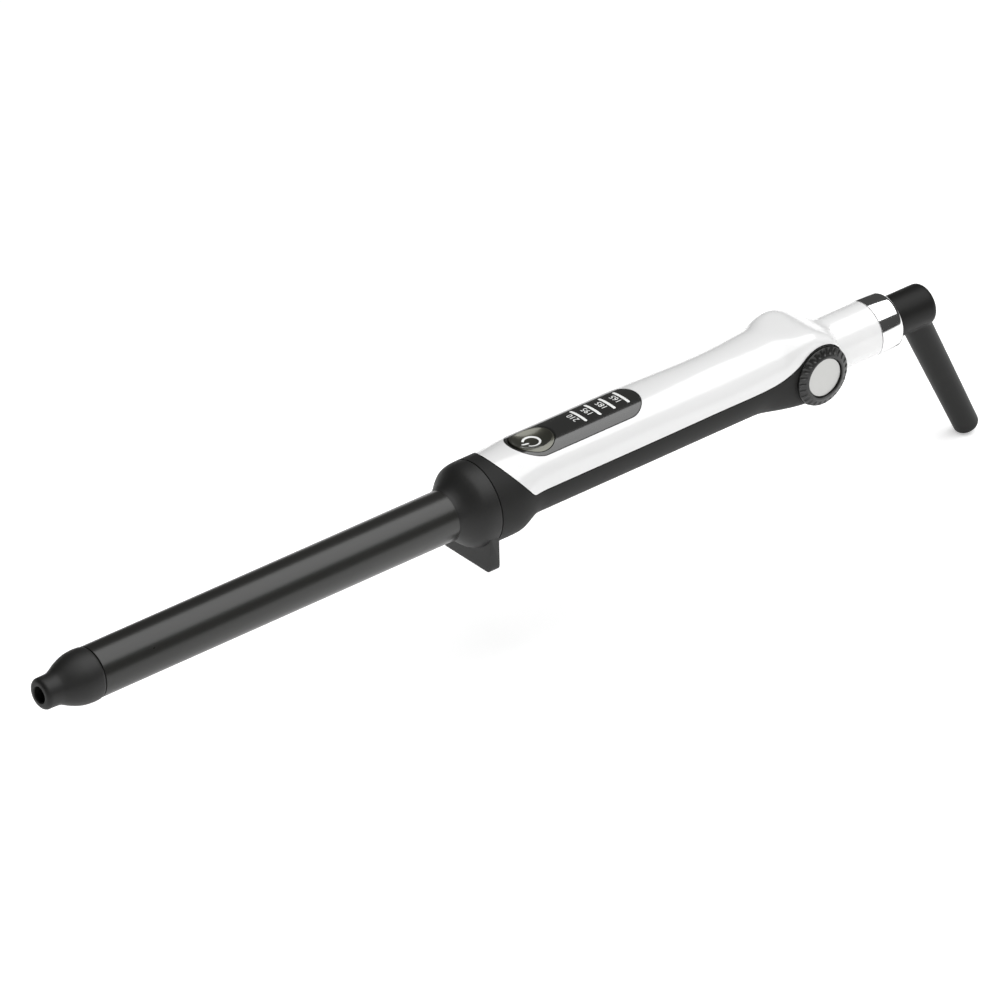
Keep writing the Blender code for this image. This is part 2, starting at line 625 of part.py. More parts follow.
def make_casings():
    """Two shells parting along the side line: the black one with the band and dial seats, the white with the neck."""
    width = 4 * BAND_R
    line = split_line()
    upper_edge = moved_aside(line, GAP / 2)
    lower_edge = moved_aside(line, -GAP / 2)
    high, far = 2 * BAND_R, NECK_END + 4 * PROUD
    above = [(far, upper_edge[-1][1]), (far, high), (upper_edge[0][0], high)]
    upper_prism = side_prism("upper_side", upper_edge + above, width)
    near = BAND_FRONT - 4 * PROUD
    ahead = [(near, lower_edge[-1][1]), (near, lower_edge[0][1])]
    lower_prism = side_prism("lower_side", lower_edge + ahead, width)
    hollow = casing_blank("casing_cavity", WALL, BAND_FRONT - PROUD, NECK_END + PROUD, 20, 9.0 * MM)
    cavity = add_cutter("casing_cavity", hollow, AXIS)
    window = add_cutter("window_opening", outline_mesh("window_opening", window_outline(0.0), BAND_R), AXIS,
                        (0.0, 0.0, BAND_R))
    hub_hole = turned_cutter("hub_hole", rod(width, -width, DIAL_HUB_R + GAP), DIAL, axis="Y", segments=24)

    upper = add_piece("upper_casing", casing_blank("upper_casing", 0.0, BAND_FRONT, NECK_END), WHITE, AXIS)
    boolean(upper, "INTERSECT", upper_prism)
    boolean(upper, "DIFFERENCE", cavity, window)
    lower = add_piece("lower_casing", casing_blank("lower_casing", 0.0, BAND_FRONT, NECK_END), BLACK, AXIS)
    boolean(lower, "INTERSECT", lower_prism)
    inner = BULGE_HALF_WIDTH - WALL - GAP
    crown = block_cutter("crown_space", (DIAL_X - 1.2 * CHEEK_R, 1.5 * MM - inner, CHEEK_R / 2),
                         (DIAL_X + 1.2 * CHEEK_R, inner - 1.5 * MM, high), AXIS)
    boolean(lower, "DIFFERENCE", cavity, crown)
    cheeks = [turned_cutter(f"cheek_{way}", rod(CHEEK_FACE, inner - 0.2 * MM, CHEEK_R), DIAL, axis=way, segments=32)
              for way in ("-Y", "Y")]

    # each screw comes up through a boss of the black shell into a post of the white one
    post_top = WAIST_TOP - WALL / 2
    boss_foot = GRIP_BOTTOM + WALL / 2
    pilot_top = SCREW_LENGTH - SCREW_SEAT + GAP
    hole = [(pilot_top, 0.0), (pilot_top, SCREW_R + GAP), (-SCREW_SEAT, SCREW_R + GAP),
            (-SCREW_SEAT, SCREW_HEAD_R + GAP), (-BAND_R, SCREW_HEAD_R + GAP), (-BAND_R, 0.0)]
    head_top = -SCREW_SEAT - GAP
    screw = [(head_top + SCREW_LENGTH, 0.0), (head_top + SCREW_LENGTH, SCREW_R), (head_top, SCREW_R),
             (head_top, SCREW_HEAD_R), (head_top - SCREW_HEAD_THICK, SCREW_HEAD_R - 0.6 * MM),
             (head_top - SCREW_HEAD_THICK, 0.0)]
    posts, bosses, upper_holes, lower_holes = [], [], [], []
    for number, x in enumerate(SCREW_XS, start=1):
        spot = (x, 0.0, 0.0)
        posts.append(turned_cutter(f"post_{number}", rod(post_top, GAP - BOSS_TOP, POST_R), AXIS, spot, "Z", 16))
        bosses.append(turned_cutter(f"boss_{number}", rod(-BOSS_TOP, boss_foot, BOSS_R), AXIS, spot, "Z", 16))
        upper_holes.append(turned_cutter(f"post_hole_{number}", hole, AXIS, spot, "Z", 12))
        lower_holes.append(turned_cutter(f"boss_hole_{number}", hole, AXIS, spot, "Z", 12))
        turned(f"casing_screw_{number}", screw, STEEL, AXIS, spot, "Z", 12)
    # the exact solver leaves torn edges on so many small joins, and the manifold one doesn't
    boolean(upper, "UNION", *posts, solver="MANIFOLD")
    boolean(upper, "DIFFERENCE", *upper_holes, solver="MANIFOLD")
    boolean(lower, "UNION", *cheeks, *bosses, solver="MANIFOLD")
    boolean(lower, "DIFFERENCE", *lower_holes, hub_hole, solver="MANIFOLD")


def window_outline(inset):
    """Seen from above: a slot with round ends."""
    radius = WINDOW_HALF_WIDTH - inset
    return arc_2d((WINDOW_REAR, 0.0), radius, -90.0, 90.0, 14) + arc_2d((WINDOW_FRONT, 0.0), radius, 90.0, 270.0, 14)


def make_display():
    """Smoked lens in the window, with the light guide and the four indicator lamps under it."""
    front, rear = WINDOW_FRONT - 2 * WINDOW_HALF_WIDTH, WINDOW_REAR + 2 * WINDOW_HALF_WIDTH
    lens = add_piece("display_window", casing_blank("display_window", 0.05 * MM, front, rear), SMOKED, AXIS)
    below = casing_blank("lens_underside", LENS_THICK, front - PROUD, rear + PROUD)
    under = add_cutter("lens_underside", below, AXIS)
    shape = add_cutter("lens_outline", outline_mesh("lens_outline", window_outline(GAP), BAND_R), AXIS,
                       (0.0, 0.0, BAND_R))
    hole = turned_cutter("button_hole", rod(2 * BAND_R, 0.0, BUTTON_R + GAP), AXIS, (WINDOW_FRONT, 0, 0), "Z", 40)
    boolean(lens, "DIFFERENCE", under)
    boolean(lens, "INTERSECT", shape)
    boolean(lens, "DIFFERENCE", hole)

    bars = [BAR_FIRST + i * BAR_PITCH for i in range(BAR_COUNT)]
    bar_top = section_height(BAR_LENGTH / 2, LENS_THICK) - GAP
    lamp_top = BOARD_TOP + GAP + 0.7 * MM
    bridge_low, bridge_high = 10.0 * MM, 11.2 * MM
    bridge = (bars[0] - 2.0 * MM, bars[-1] + 2.0 * MM)
    guide = block("light_guide", (bridge[0], -BAR_LENGTH / 2 - 1.2 * MM, bridge_low),
                  (bridge[1], BAR_LENGTH / 2 + 1.2 * MM, bridge_high), LAMP, AXIS)
    for number, x in enumerate(bars, start=1):
        fin = block_cutter(f"light_bar_{number}", (x - BAR_THICK / 2, -BAR_LENGTH / 2, lamp_top + GAP),
                           (x + BAR_THICK / 2, BAR_LENGTH / 2, bar_top), AXIS)
        boolean(guide, "UNION", fin)
        block(f"lamp_{number}", (x - 0.8 * MM, -1.6 * MM, BOARD_TOP + GAP), (x + 0.8 * MM, 1.6 * MM, lamp_top),
              LAMP, AXIS)


def make_button():
    """Round power button in the window's front end, dished on top, over a push switch and its return spring."""
    blank = casing_blank("power_button", 0.0, WINDOW_FRONT - BUTTON_R - PROUD, WINDOW_FRONT + BUTTON_R + PROUD)
    blank.transform(Matrix.Translation((-WINDOW_FRONT, 0.0, 0.0)))
    button = add_piece("power_button", blank, BUTTON, PRESS)
    shape = turned_cutter("button_shape", rod(2 * BAND_R, BUTTON_UNDERSIDE, BUTTON_R), PRESS, (0, 0, 0), "Z", 40)
    boolean(button, "INTERSECT", shape)
    bottom = GRIP_TOP - BUTTON_DISH
    dish = turned_cutter("button_dish", sphere_profile(BUTTON_DISH_SPHERE), PRESS,
                         (0, 0, bottom + BUTTON_DISH_SPHERE), "Z", 40)
    boolean(button, "DIFFERENCE", dish)
    switch_top = BOARD_TOP + GAP + SWITCH_HEIGHT
    plunger_top = switch_top + PLUNGER_STANDS
    stem = turned_cutter("button_stem", rod(BUTTON_UNDERSIDE + 0.5 * MM, plunger_top + GAP, STEM_R), PRESS,
                         (0, 0, 0), "Z", 20)
    boolean(button, "UNION", stem)

    half = SWITCH_SIDE / 2
    switch = block("push_switch", (WINDOW_FRONT - half, -half, BOARD_TOP + GAP),
                   (WINDOW_FRONT + half, half, switch_top), BLACK, AXIS)
    plunger_low = switch_top - 0.9 * MM
    well = turned_cutter("plunger_well", rod(switch_top + PROUD, plunger_low - BUTTON_TRAVEL - GAP, PLUNGER_R + GAP),
                         AXIS, (WINDOW_FRONT, 0, 0), "Z", 20)
    boolean(switch, "DIFFERENCE", well)
    turned("switch_plunger", rod(plunger_top, plunger_low, PLUNGER_R), LAMP, PRESS, (0, 0, 0), "Z", 20)

    low = switch_top + GAP + SPRING_WIRE / 2
    high = BUTTON_UNDERSIDE - GAP - SPRING_WIRE / 2
    coil = []
    per_turn = 10
    for i in range(SPRING_TURNS * per_turn + 1):
        angle = math.tau * i / per_turn
        coil.append((SPRING_R * math.cos(angle), SPRING_R * math.sin(angle),
                     low + (high - low) * i / (SPRING_TURNS * per_turn)))
    add_piece("button_spring", wire_mesh("button_spring", coil, SPRING_WIRE / 2, 1), STEEL, PRESS)


def sphere_profile(radius, steps=12):
    """Half circle from the top pole to the bottom one."""
    points = []
    for i in range(steps + 1):
        angle = math.pi * i / steps
        points.append((radius * math.cos(angle), radius * math.sin(angle)))
    return points


def make_board():
    """Circuit board under the window, with what is soldered to it."""
    block("circuit_board", (BOARD_FRONT, -BOARD_HALF_WIDTH, BOARD_TOP - BOARD_THICK),
          (BOARD_REAR, BOARD_HALF_WIDTH, BOARD_TOP), BOARD, AXIS)
    under = BOARD_TOP - BOARD_THICK - GAP
    block("controller_chip", (50.0 * MM, -3.5 * MM, under - 1.4 * MM), (57.0 * MM, 3.5 * MM, under), BLACK, AXIS)
    block("triac", (64.0 * MM, -5.0 * MM, under - 4.4 * MM), (74.0 * MM, 5.0 * MM, under), BLACK, AXIS)
    turned("capacitor", rod(46.0 * MM, 34.0 * MM, 3.6 * MM), SILVER, AXIS, (0, 0, under - 3.6 * MM), "X", 24)
    fuse_r = 1.3 * MM
    turned("thermal_fuse", rod(4.5 * MM, -4.5 * MM, fuse_r), STEEL, AXIS,
           (40.0 * MM, 0, BOARD_TOP + GAP + fuse_r), "Y", 16)


def make_dial():
    """A knob on each side of one spindle that turns the selector switch, with a notched wheel and its leaf spring."""
    face = DIAL_FACE
    recess = face - BADGE_RECESS
    socket = DIAL_BASE - DIAL_HUB_LENGTH
    for side, way in (("near", "-Y"), ("far", "Y")):
        knob = [(face - 0.3 * MM, DIAL_FACE_R)]
        knob += [(DIAL_BASE + DIAL_RIM, DIAL_R), (DIAL_BASE + 0.2 * MM, DIAL_R), (DIAL_BASE, DIAL_R - 0.2 * MM),
                 (DIAL_BASE, DIAL_HUB_R), (socket, DIAL_HUB_R), (socket, SPINDLE_R + GAP),
                 (DIAL_BASE - 1.0 * MM, SPINDLE_R + GAP), (DIAL_BASE - 1.0 * MM, 0.0)]
        knob = [(recess, 0.0), (recess, BADGE_R + GAP), (face, BADGE_R + GAP), (face, DIAL_FACE_R - 0.3 * MM)] + knob
        turned(f"dial_knob_{side}", knob, BLACK, DIAL, (0, 0, 0), way, 32)
        turned(f"dial_badge_{side}", rod(recess + GAP + BADGE_THICK, recess + GAP, BADGE_R), SILVER, DIAL,
               (0, 0, 0), way, 32)
    spindle_end = DIAL_BASE - 1.0 * MM - GAP
    turned("dial_spindle", rod(spindle_end, -spindle_end, SPINDLE_R), STEEL, DIAL, (0, 0, 0), "Y", 24)
    length, depth, height = (value / 2 for value in SELECTOR_SIZE)
    selector = block("selector_switch", (DIAL_X - length, -depth, -height), (DIAL_X + length, depth, height),
                     RESIN, AXIS)
    bore = turned_cutter("selector_bore", rod(2 * depth, -2 * depth, SPINDLE_R + GAP), DIAL, (0, 0, 0), "Y", 24)
    boolean(selector, "DIFFERENCE", bore)
    wheel_low = depth + 1.0 * MM
    outline = []
    steps = DETENT_NOTCHES * 2
    for i in range(steps):
        angle = math.tau * i / steps
        dip = DETENT_NOTCH_R * max(0.0, math.cos(DETENT_NOTCHES * angle)) ** 2
        outline.append(((DETENT_R - dip) * math.cos(angle), (DETENT_R - dip) * math.sin(angle)))
    wheel = add_piece("detent_wheel", outline_mesh("detent_wheel", outline, DETENT_THICK), BRASS, DIAL,
                      (0, wheel_low + DETENT_THICK / 2, 0), TURN["Y"])
    wheel_bore = turned_cutter("wheel_bore", rod(2 * depth + DETENT_THICK, depth, SPINDLE_R + GAP), DIAL,
                               (0, 0, 0), "Y", 24)
    boolean(wheel, "DIFFERENCE", wheel_bore)
    leaf_y = wheel_low + DETENT_THICK / 2
    leaf_thick = 0.4 * MM
    leaf_x = DIAL_X - DETENT_R - GAP - leaf_thick
    block("detent_spring", (leaf_x, leaf_y - 1.0 * MM, -6.5 * MM), (leaf_x + leaf_thick, leaf_y + 1.0 * MM, 6.5 * MM),
          STEEL, AXIS)


def make_ring():
    """Chromed ring that closes the neck, with a spigot inside it."""
    bore = JOURNAL_R + GAP
    rear = RING_X + RING_LENGTH
    spigot = NECK_R - WALL - GAP
    profile = edge_arc(rear - RING_SHOULDER, RING_R - RING_SHOULDER, RING_SHOULDER, 0, 90)
    profile += [(RING_X, RING_R), (RING_X, spigot), (RING_X - 3.0 * MM, spigot), (RING_X - 3.0 * MM, bore),
                (rear, bore)]
    turned("chrome_ring", profile, CHROME, AXIS, bored=True, segments=36)
    turned("swivel_bush", tube(BUSH_REAR, BUSH_FRONT, BUSH_R, bore), LAMP, AXIS, bored=True, segments=32)


def make_elbow():
    """Cord elbow on a hollow journal, held by a clip; slip contacts at its front end feed the handle."""
    origin = ELBOW_X
    end = ELBOW_END - origin
    groove = (CLIP_X - GAP - origin, CLIP_X + CLIP_THICK + GAP - origin)
    profile = [(end, 0.0)] + edge_arc(end - ELBOW_EDGE, ELBOW_R - ELBOW_EDGE, ELBOW_EDGE, 0, 90)
    profile += [(0.5 * MM, ELBOW_R), (0.0, ELBOW_R - 0.5 * MM), (0.0, JOURNAL_R), (groove[1], JOURNAL_R),
                (groove[1], JOURNAL_R - GROOVE_DEPTH), (groove[0], JOURNAL_R - GROOVE_DEPTH), (groove[0], JOURNAL_R),
                (JOURNAL_FRONT - origin, JOURNAL_R), (JOURNAL_FRONT - origin, 0.0)]
    elbow = turned("cord_elbow", profile, BLACK, SWIVEL, axis="X", segments=32)
    root = (ARM_X - origin, 0.0, 0.0)
    lean = (0.0, math.pi - ARM_LEAN, 0.0)
    arm_profile = [(ARM_LENGTH, 0.0)] + edge_arc(ARM_LENGTH - ARM_EDGE, ARM_END_R - ARM_EDGE, ARM_EDGE, 0, 90)
    arm_profile += [(6.0 * MM, ARM_ROOT_R), (-1.5 * MM, ARM_ROOT_R - 1.6 * MM), (-1.5 * MM, 0.0)]
    arm = turned_cutter("elbow_arm", arm_profile, SWIVEL, root, segments=24, turn=lean)
    outlet = turned_cutter("outlet_bore", rod(ARM_LENGTH + PROUD, 0.0, OUTLET_R), SWIVEL, root, segments=24, turn=lean)
    passage = turned_cutter("journal_bore", rod(ARM_X - origin + 1.0 * MM, JOURNAL_FRONT - origin - PROUD, OUTLET_R),
                            SWIVEL, axis="X", segments=24)
    boolean(outlet, "UNION", passage)
    # the exact solver leaves doubled edges where the arm grazes the head's rounded end, and the manifold one doesn't
    boolean(elbow, "UNION", arm, solver="MANIFOLD")
    boolean(elbow, "DIFFERENCE", outlet, solver="MANIFOLD")

    inner, outer = JOURNAL_R - GROOVE_DEPTH + GAP, JOURNAL_R + 1.5 * MM
    mouth = 32.0
    clip_outline = arc_2d((0.0, 0.0), outer, mouth, 360.0 - mouth, 24)
    clip_outline += arc_2d((0.0, 0.0), inner, 360.0 - mouth, mouth, 24)
    add_piece("retaining_clip", outline_mesh("retaining_clip", clip_outline, CLIP_THICK), STEEL, SWIVEL,
              (CLIP_X + CLIP_THICK / 2 - origin, 0, 0), (math.radians(90), 0.0, math.radians(90)))

    carrier_rear = JOURNAL_FRONT - GAP
    carrier_front = carrier_rear - 1.6 * MM
    ring_rear = carrier_front - GAP
    ring_front = ring_rear - 0.9 * MM
    turned("slip_carrier", rod(carrier_rear - origin, carrier_front - origin, JOURNAL_R - 0.2 * MM), RESIN, SWIVEL,
           segments=32)
    turned("slip_ring_outer", tube(ring_rear - origin, ring_front - origin, 5.6 * MM, 3.8 * MM), BRASS, SWIVEL,
           bored=True, segments=32)
    turned("slip_ring_inner", rod(ring_rear - origin, ring_front - origin, 1.6 * MM), BRASS, SWIVEL, segments=20)
    brush_rear = ring_front - GAP
    brush_front = brush_rear - 1.8 * MM
    block_rear = brush_front - GAP
    block_front = block_rear - 1.6 * MM
    brush_r = 0.8 * MM
    turned("brush_live", rod(brush_rear, brush_front, brush_r), BRASS, AXIS, segments=16)
    turned("brush_neutral", rod(brush_rear, brush_front, brush_r), BRASS, AXIS, (0, 0, -4.7 * MM), segments=16)
    turned("brush_block", rod(block_rear, block_front, 7.2 * MM), RESIN, AXIS, segments=32)
    return block_front


def make_leads(block_front):
    """Supply leads from the brush block to the board, and heater leads from the board into the barrel."""
    level = BOARD_TOP - BOARD_THICK / 2
    for name, side, look in (("supply_lead_live", -1.0, LEAD_RED), ("supply_lead_neutral", 1.0, LEAD_BLUE)):
        aside = 6.4 * MM * side
        route = [(block_front - GAP, 4.6 * MM * side, -4.4 * MM), (block_front - 2.0 * MM, 4.6 * MM * side, -4.4 * MM),
                 (DIAL_X + 1.0 * MM, aside, -8.2 * MM), (DIAL_X - 8.0 * MM, aside, -8.2 * MM),
                 (DIAL_X - 24.0 * MM, aside, -6.4 * MM), (DIAL_X - 50.0 * MM, aside, -1.0 * MM),
                 (BOARD_REAR + 4.0 * MM, 5.6 * MM * side, level), (BOARD_REAR + GAP, 5.6 * MM * side, level)]
        add_piece(name, wire_mesh(name, smooth_route(route), LEAD_R, 1), look, AXIS)
    for name, side, look in (("heater_lead_live", -1.0, LEAD_RED), ("heater_lead_neutral", 1.0, LEAD_BLUE)):
        route = [(MOUTH_X - 7.0 * MM, 3.0 * MM * side, 0.0), (MOUTH_X, 3.4 * MM * side, 0.4 * MM),
                 (BARREL_REAR, 4.4 * MM * side, 1.8 * MM), (BOARD_FRONT - 3.0 * MM, 5.0 * MM * side, level),
                 (BOARD_FRONT - GAP, 5.0 * MM * side, level)]
        add_piece(name, wire_mesh(name, smooth_route(route), LEAD_R, 1), look, AXIS)


make_barrel()
make_tip()
make_collar()
make_casings()
make_display()
make_button()
make_board()
make_dial()
make_ring()
BRUSH_BLOCK_FRONT = make_elbow()
make_leads(BRUSH_BLOCK_FRONT)
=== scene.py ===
import math

import bpy
from mathutils import Matrix, Vector


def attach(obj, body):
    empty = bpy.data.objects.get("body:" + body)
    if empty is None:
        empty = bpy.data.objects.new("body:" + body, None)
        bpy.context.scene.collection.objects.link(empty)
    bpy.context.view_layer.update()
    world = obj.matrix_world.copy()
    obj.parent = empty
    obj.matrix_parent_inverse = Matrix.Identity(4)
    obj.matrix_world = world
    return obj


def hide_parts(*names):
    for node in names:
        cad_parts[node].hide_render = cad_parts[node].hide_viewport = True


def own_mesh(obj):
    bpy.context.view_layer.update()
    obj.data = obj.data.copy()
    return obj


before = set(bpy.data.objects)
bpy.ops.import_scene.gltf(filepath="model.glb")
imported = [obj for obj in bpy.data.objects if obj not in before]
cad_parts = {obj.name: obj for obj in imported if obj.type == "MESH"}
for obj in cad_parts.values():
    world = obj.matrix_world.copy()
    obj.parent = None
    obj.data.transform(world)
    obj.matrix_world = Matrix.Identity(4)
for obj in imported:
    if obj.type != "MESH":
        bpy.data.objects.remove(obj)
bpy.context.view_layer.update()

MM = 0.001
AXIS_Z = 0.022          # height of the barrel's axis over the stand foot's underside
GAP = 0.3 * MM          # between pieces that seat on each other


# --- Camera, floor and studio light -------------------------------------------------------------------------
# The iron is seen from its tip's side and from above, with a long lens. Its top leans a little away from the
# camera.
CAMERA_DISTANCE = 3.85
look = Matrix.Rotation(math.radians(2.0), 3, "X") @ Matrix.Rotation(math.radians(-39.2), 3, "Z")
look = look @ Matrix.Rotation(math.radians(90.0 - 33.0), 3, "X")
aim = Vector((13.75 * MM, 0.0, AXIS_Z)) - look.col[1] * 3.283 * MM
camera_data = bpy.data.cameras.new("camera")
camera_data.lens = 392.6
camera_data.clip_end = 20.0
camera = bpy.data.objects.new("camera", camera_data)
camera.matrix_world = Matrix.Translation(aim + look.col[2] * CAMERA_DISTANCE) @ look.to_4x4()
bpy.context.scene.collection.objects.link(camera)
bpy.context.scene.camera = camera
bpy.context.scene.view_settings.view_transform = "Standard"


def softbox(name, centre, target, size, power, tint=(1.0, 1.0, 1.0)):
    """A rectangular studio light that faces its target."""
    data = bpy.data.lights.new(name, "AREA")
    data.shape = "RECTANGLE"
    data.size, data.size_y = size
    data.energy = power
    data.color = tint
    lamp = bpy.data.objects.new(name, data)
    lamp.location = centre
    lamp.rotation_euler = (Vector(centre) - Vector(target)).to_track_quat("Z", "Y").to_euler()
    bpy.context.scene.collection.objects.link(lamp)


softbox("overhead_softbox", (0.45, -0.29, 0.86), (0.45, -0.29, 0.0), (1.6, 1.24), 16.0)
softbox("front_softbox", (-0.9, -1.3, 0.7), (0.0, 0.0, 0.0), (0.7, 0.5), 1.5, (1.0, 0.99, 0.97))

room = bpy.data.worlds.new("pale_room")
room.use_nodes = True
room.node_tree.nodes["Background"].inputs["Color"].default_value = (0.90, 0.91, 0.90, 1.0)
room.node_tree.nodes["Background"].inputs["Strength"].default_value = 0.08
bpy.context.scene.world = room

bpy.ops.object.select_all(action="DESELECT")
bpy.ops.mesh.primitive_plane_add(size=8.0, location=(0.0, 0.0, -0.0400))
floor = bpy.context.object
floor.name = "floor"
pale = bpy.data.materials.new("pale_floor")
pale.use_nodes = True
pale.node_tree.nodes["Principled BSDF"].inputs["Base Color"].default_value = (0.93, 0.93, 0.93, 1.0)
pale.node_tree.nodes["Principled BSDF"].inputs["Roughness"].default_value = 0.9
pale.node_tree.nodes["Principled BSDF"].inputs["Emission Color"].default_value = (1.0, 1.0, 1.0, 1.0)
pale.node_tree.nodes["Principled BSDF"].inputs["Emission Strength"].default_value = 0.45
floor.data.materials.append(pale)


# --- Barrel -------------------------------------------------------------------------------------------------
# Thin aluminium tube that the hair is wound on. It is turned, then sprayed with a dark satin ceramic coating,
# and its ends hide in the cool tip and in the collar.
BARREL_R = 9.5 * MM
BARREL_WALL = 1.2 * MM
BARREL_FRONT = -168.15 * MM
BARREL_REAR = 12.05 * MM

WAYS = {"X": Vector((1.0, 0.0, 0.0)), "Y": Vector((0.0, 1.0, 0.0)), "Z": Vector((0.0, 0.0, 1.0))}
CIRCLE_TURN = {"X": (0.0, math.pi / 2, 0.0), "Y": (-math.pi / 2, 0.0, 0.0), "Z": (0.0, 0.0, 0.0)}


def apply_all(piece):
    """Makes the piece's modifiers part of its mesh."""
    bpy.ops.object.select_all(action="DESELECT")
    piece.select_set(True)
    bpy.context.view_layer.objects.active = piece
    for modifier in list(piece.modifiers):
        bpy.ops.object.modifier_apply(modifier=modifier.name)


def turned(name, stations, sides=128, centre=(0.0, 0.0, AXIS_Z), way="X", bored=False):
    """A turned piece, drawn out ring by ring through (along, radius). A bored one ends where it began."""
    bpy.ops.object.select_all(action="DESELECT")
    ahead = WAYS[way]
    along, radius = stations[0]
    bpy.ops.mesh.primitive_circle_add(vertices=sides, radius=radius, location=Vector(centre) + ahead * along,
                                      rotation=CIRCLE_TURN[way])
    piece = bpy.context.object
    piece.name = piece.data.name = name
    bpy.ops.object.transform_apply(location=True, rotation=True, scale=True)
    bpy.ops.object.mode_set(mode="EDIT")
    bpy.ops.mesh.select_all(action="SELECT")
    if not bored:
        bpy.ops.mesh.edge_face_add()
    for next_along, next_radius in stations[1:]:
        bpy.ops.mesh.extrude_region_move(TRANSFORM_OT_translate={"value": ahead * (next_along - along)})
        if next_radius != radius:
            share = next_radius / radius
            bpy.ops.transform.resize(value=[share + (1.0 - share) * part for part in ahead],
                                     center_override=Vector(centre) + ahead * next_along)
        along, radius = next_along, next_radius
    bpy.ops.mesh.select_all(action="SELECT")
    bpy.ops.mesh.remove_doubles(threshold=0.000002)
    bpy.ops.mesh.normals_make_consistent(inside=False)
    bpy.ops.object.mode_set(mode="OBJECT")
    return piece


def round_edges(piece, width, segments=3, angle=30.0):
    """Rounds every edge that turns by more than the angle."""
    bevel = piece.modifiers.new("round", "BEVEL")
    bevel.width = width
    bevel.segments = segments
    bevel.limit_method = "ANGLE"
    bevel.angle_limit = math.radians(angle)
    bevel.use_clamp_overlap = True
    apply_all(piece)


def smooth(piece, angle=32.0):
    bpy.ops.object.select_all(action="DESELECT")
    piece.select_set(True)
    bpy.context.view_layer.objects.active = piece
    bpy.ops.object.shade_smooth_by_angle(angle=math.radians(angle))


def finish(name, colour, roughness, metallic=0.0, grain=0.0, grain_size=0.3 * MM, worn=0.05, stretch=(1, 1, 1),
           **more):
    """One finish: its colour and gloss vary a little over the surface, and a fine grain stands out of it."""
    material = bpy.data.materials.new(name)
    material.use_nodes = True
    nodes, links = material.node_tree.nodes, material.node_tree.links
    shader = nodes["Principled BSDF"]
    place = nodes.new("ShaderNodeTexCoord")
    mapping = nodes.new("ShaderNodeMapping")
    mapping.inputs["Scale"].default_value = stretch
    links.new(place.outputs["Object"], mapping.inputs["Vector"])

    patches = nodes.new("ShaderNodeTexNoise")
    patches.inputs["Scale"].default_value = 90.0
    patches.inputs["Detail"].default_value = 4.0
    links.new(mapping.outputs["Vector"], patches.inputs["Vector"])
    tone = nodes.new("ShaderNodeMix")
    tone.data_type = "RGBA"
    tone.inputs["A"].default_value = (*[part * (1.0 - worn) for part in colour], 1.0)
    tone.inputs["B"].default_value = (*[min(1.0, part * (1.0 + worn)) for part in colour], 1.0)
    links.new(patches.outputs["Fac"], tone.inputs["Factor"])
    links.new(tone.outputs["Result"], shader.inputs["Base Color"])

    fine = nodes.new("ShaderNodeTexNoise")
    fine.inputs["Scale"].default_value = 1.0 / grain_size
    fine.inputs["Detail"].default_value = 2.0
    links.new(mapping.outputs["Vector"], fine.inputs["Vector"])
    gloss = nodes.new("ShaderNodeMapRange")
    gloss.inputs["To Min"].default_value = roughness * (1.0 - worn)
    gloss.inputs["To Max"].default_value = min(1.0, roughness * (1.0 + worn))
    links.new(patches.outputs["Fac"], gloss.inputs["Value"])
    links.new(gloss.outputs["Result"], shader.inputs["Roughness"])
    if grain > 0.0:
        bump = nodes.new("ShaderNodeBump")
        bump.inputs["Strength"].default_value = grain
        bump.inputs["Distance"].default_value = 0.02 * MM
        links.new(fine.outputs["Fac"], bump.inputs["Height"])
        links.new(bump.outputs["Normal"], shader.inputs["Normal"])
    shader.inputs["Metallic"].default_value = metallic
    for socket, value in more.items():
        shader.inputs[socket.replace("_", " ")].default_value = value
    return material


def fit(piece, material, slot, body, *nodes):
    """Puts a finished piece on its body, in place of the plain solids that it stands for."""
    piece.data.materials.clear()
    piece.data.materials.append(material)
    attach(piece, body)
    if nodes:
        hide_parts(*nodes)


bore = BARREL_R - BARREL_WALL
barrel = turned("barrel", [(BARREL_REAR, BARREL_R), (BARREL_FRONT, BARREL_R), (BARREL_FRONT, bore),
                           (BARREL_REAR, bore), (BARREL_REAR, BARREL_R)], bored=True)
round_edges(barrel, 0.2 * MM)
smooth(barrel)
COATING = finish("barrel_coating", (0.018, 0.018, 0.0165), 0.28, grain=0.35, grain_size=0.25 * MM)
fit(barrel, COATING, "barrel_coating", "handle", "barrel_tube")


# --- Cool tip -----------------------------------------------------------------------------------------------
# Moulded cap of heat-resistant plastic that the fingers hold while the hair is wound on. It narrows to a
# round nose, and the screw that holds it lies down the hole in its end.
TIP_X = -190.35 * MM
TIP_SEAM = -168.45 * MM
TIP_HOLE_R = 3.1 * MM
TIP_HOLE_DEPTH = 9.0 * MM
SCREW_BORE_R = 1.5 * MM
TIP_SPIGOT_R = 8.0 * MM
TIP_NOSE_R = 5.85 * MM
TIP_EDGE = 1.7 * MM             # rounding of the nose's end


def through(points, steps=4):
    """A smooth line through the points, with more points between them."""
    line = []
    padded = [points[0]] + list(points) + [points[-1]]
    for a, b, c, d in zip(padded, padded[1:], padded[2:], padded[3:]):
        a, b, c, d = (Vector(point) for point in (a, b, c, d))
        for i in range(steps):
            t = i / steps
            line.append(tuple(0.5 * (2 * b + (c - a) * t + (2 * a - 5 * b + 4 * c - d) * t ** 2
                                     + (3 * b - a - 3 * c + d) * t ** 3)))
    return line + [tuple(points[-1])]


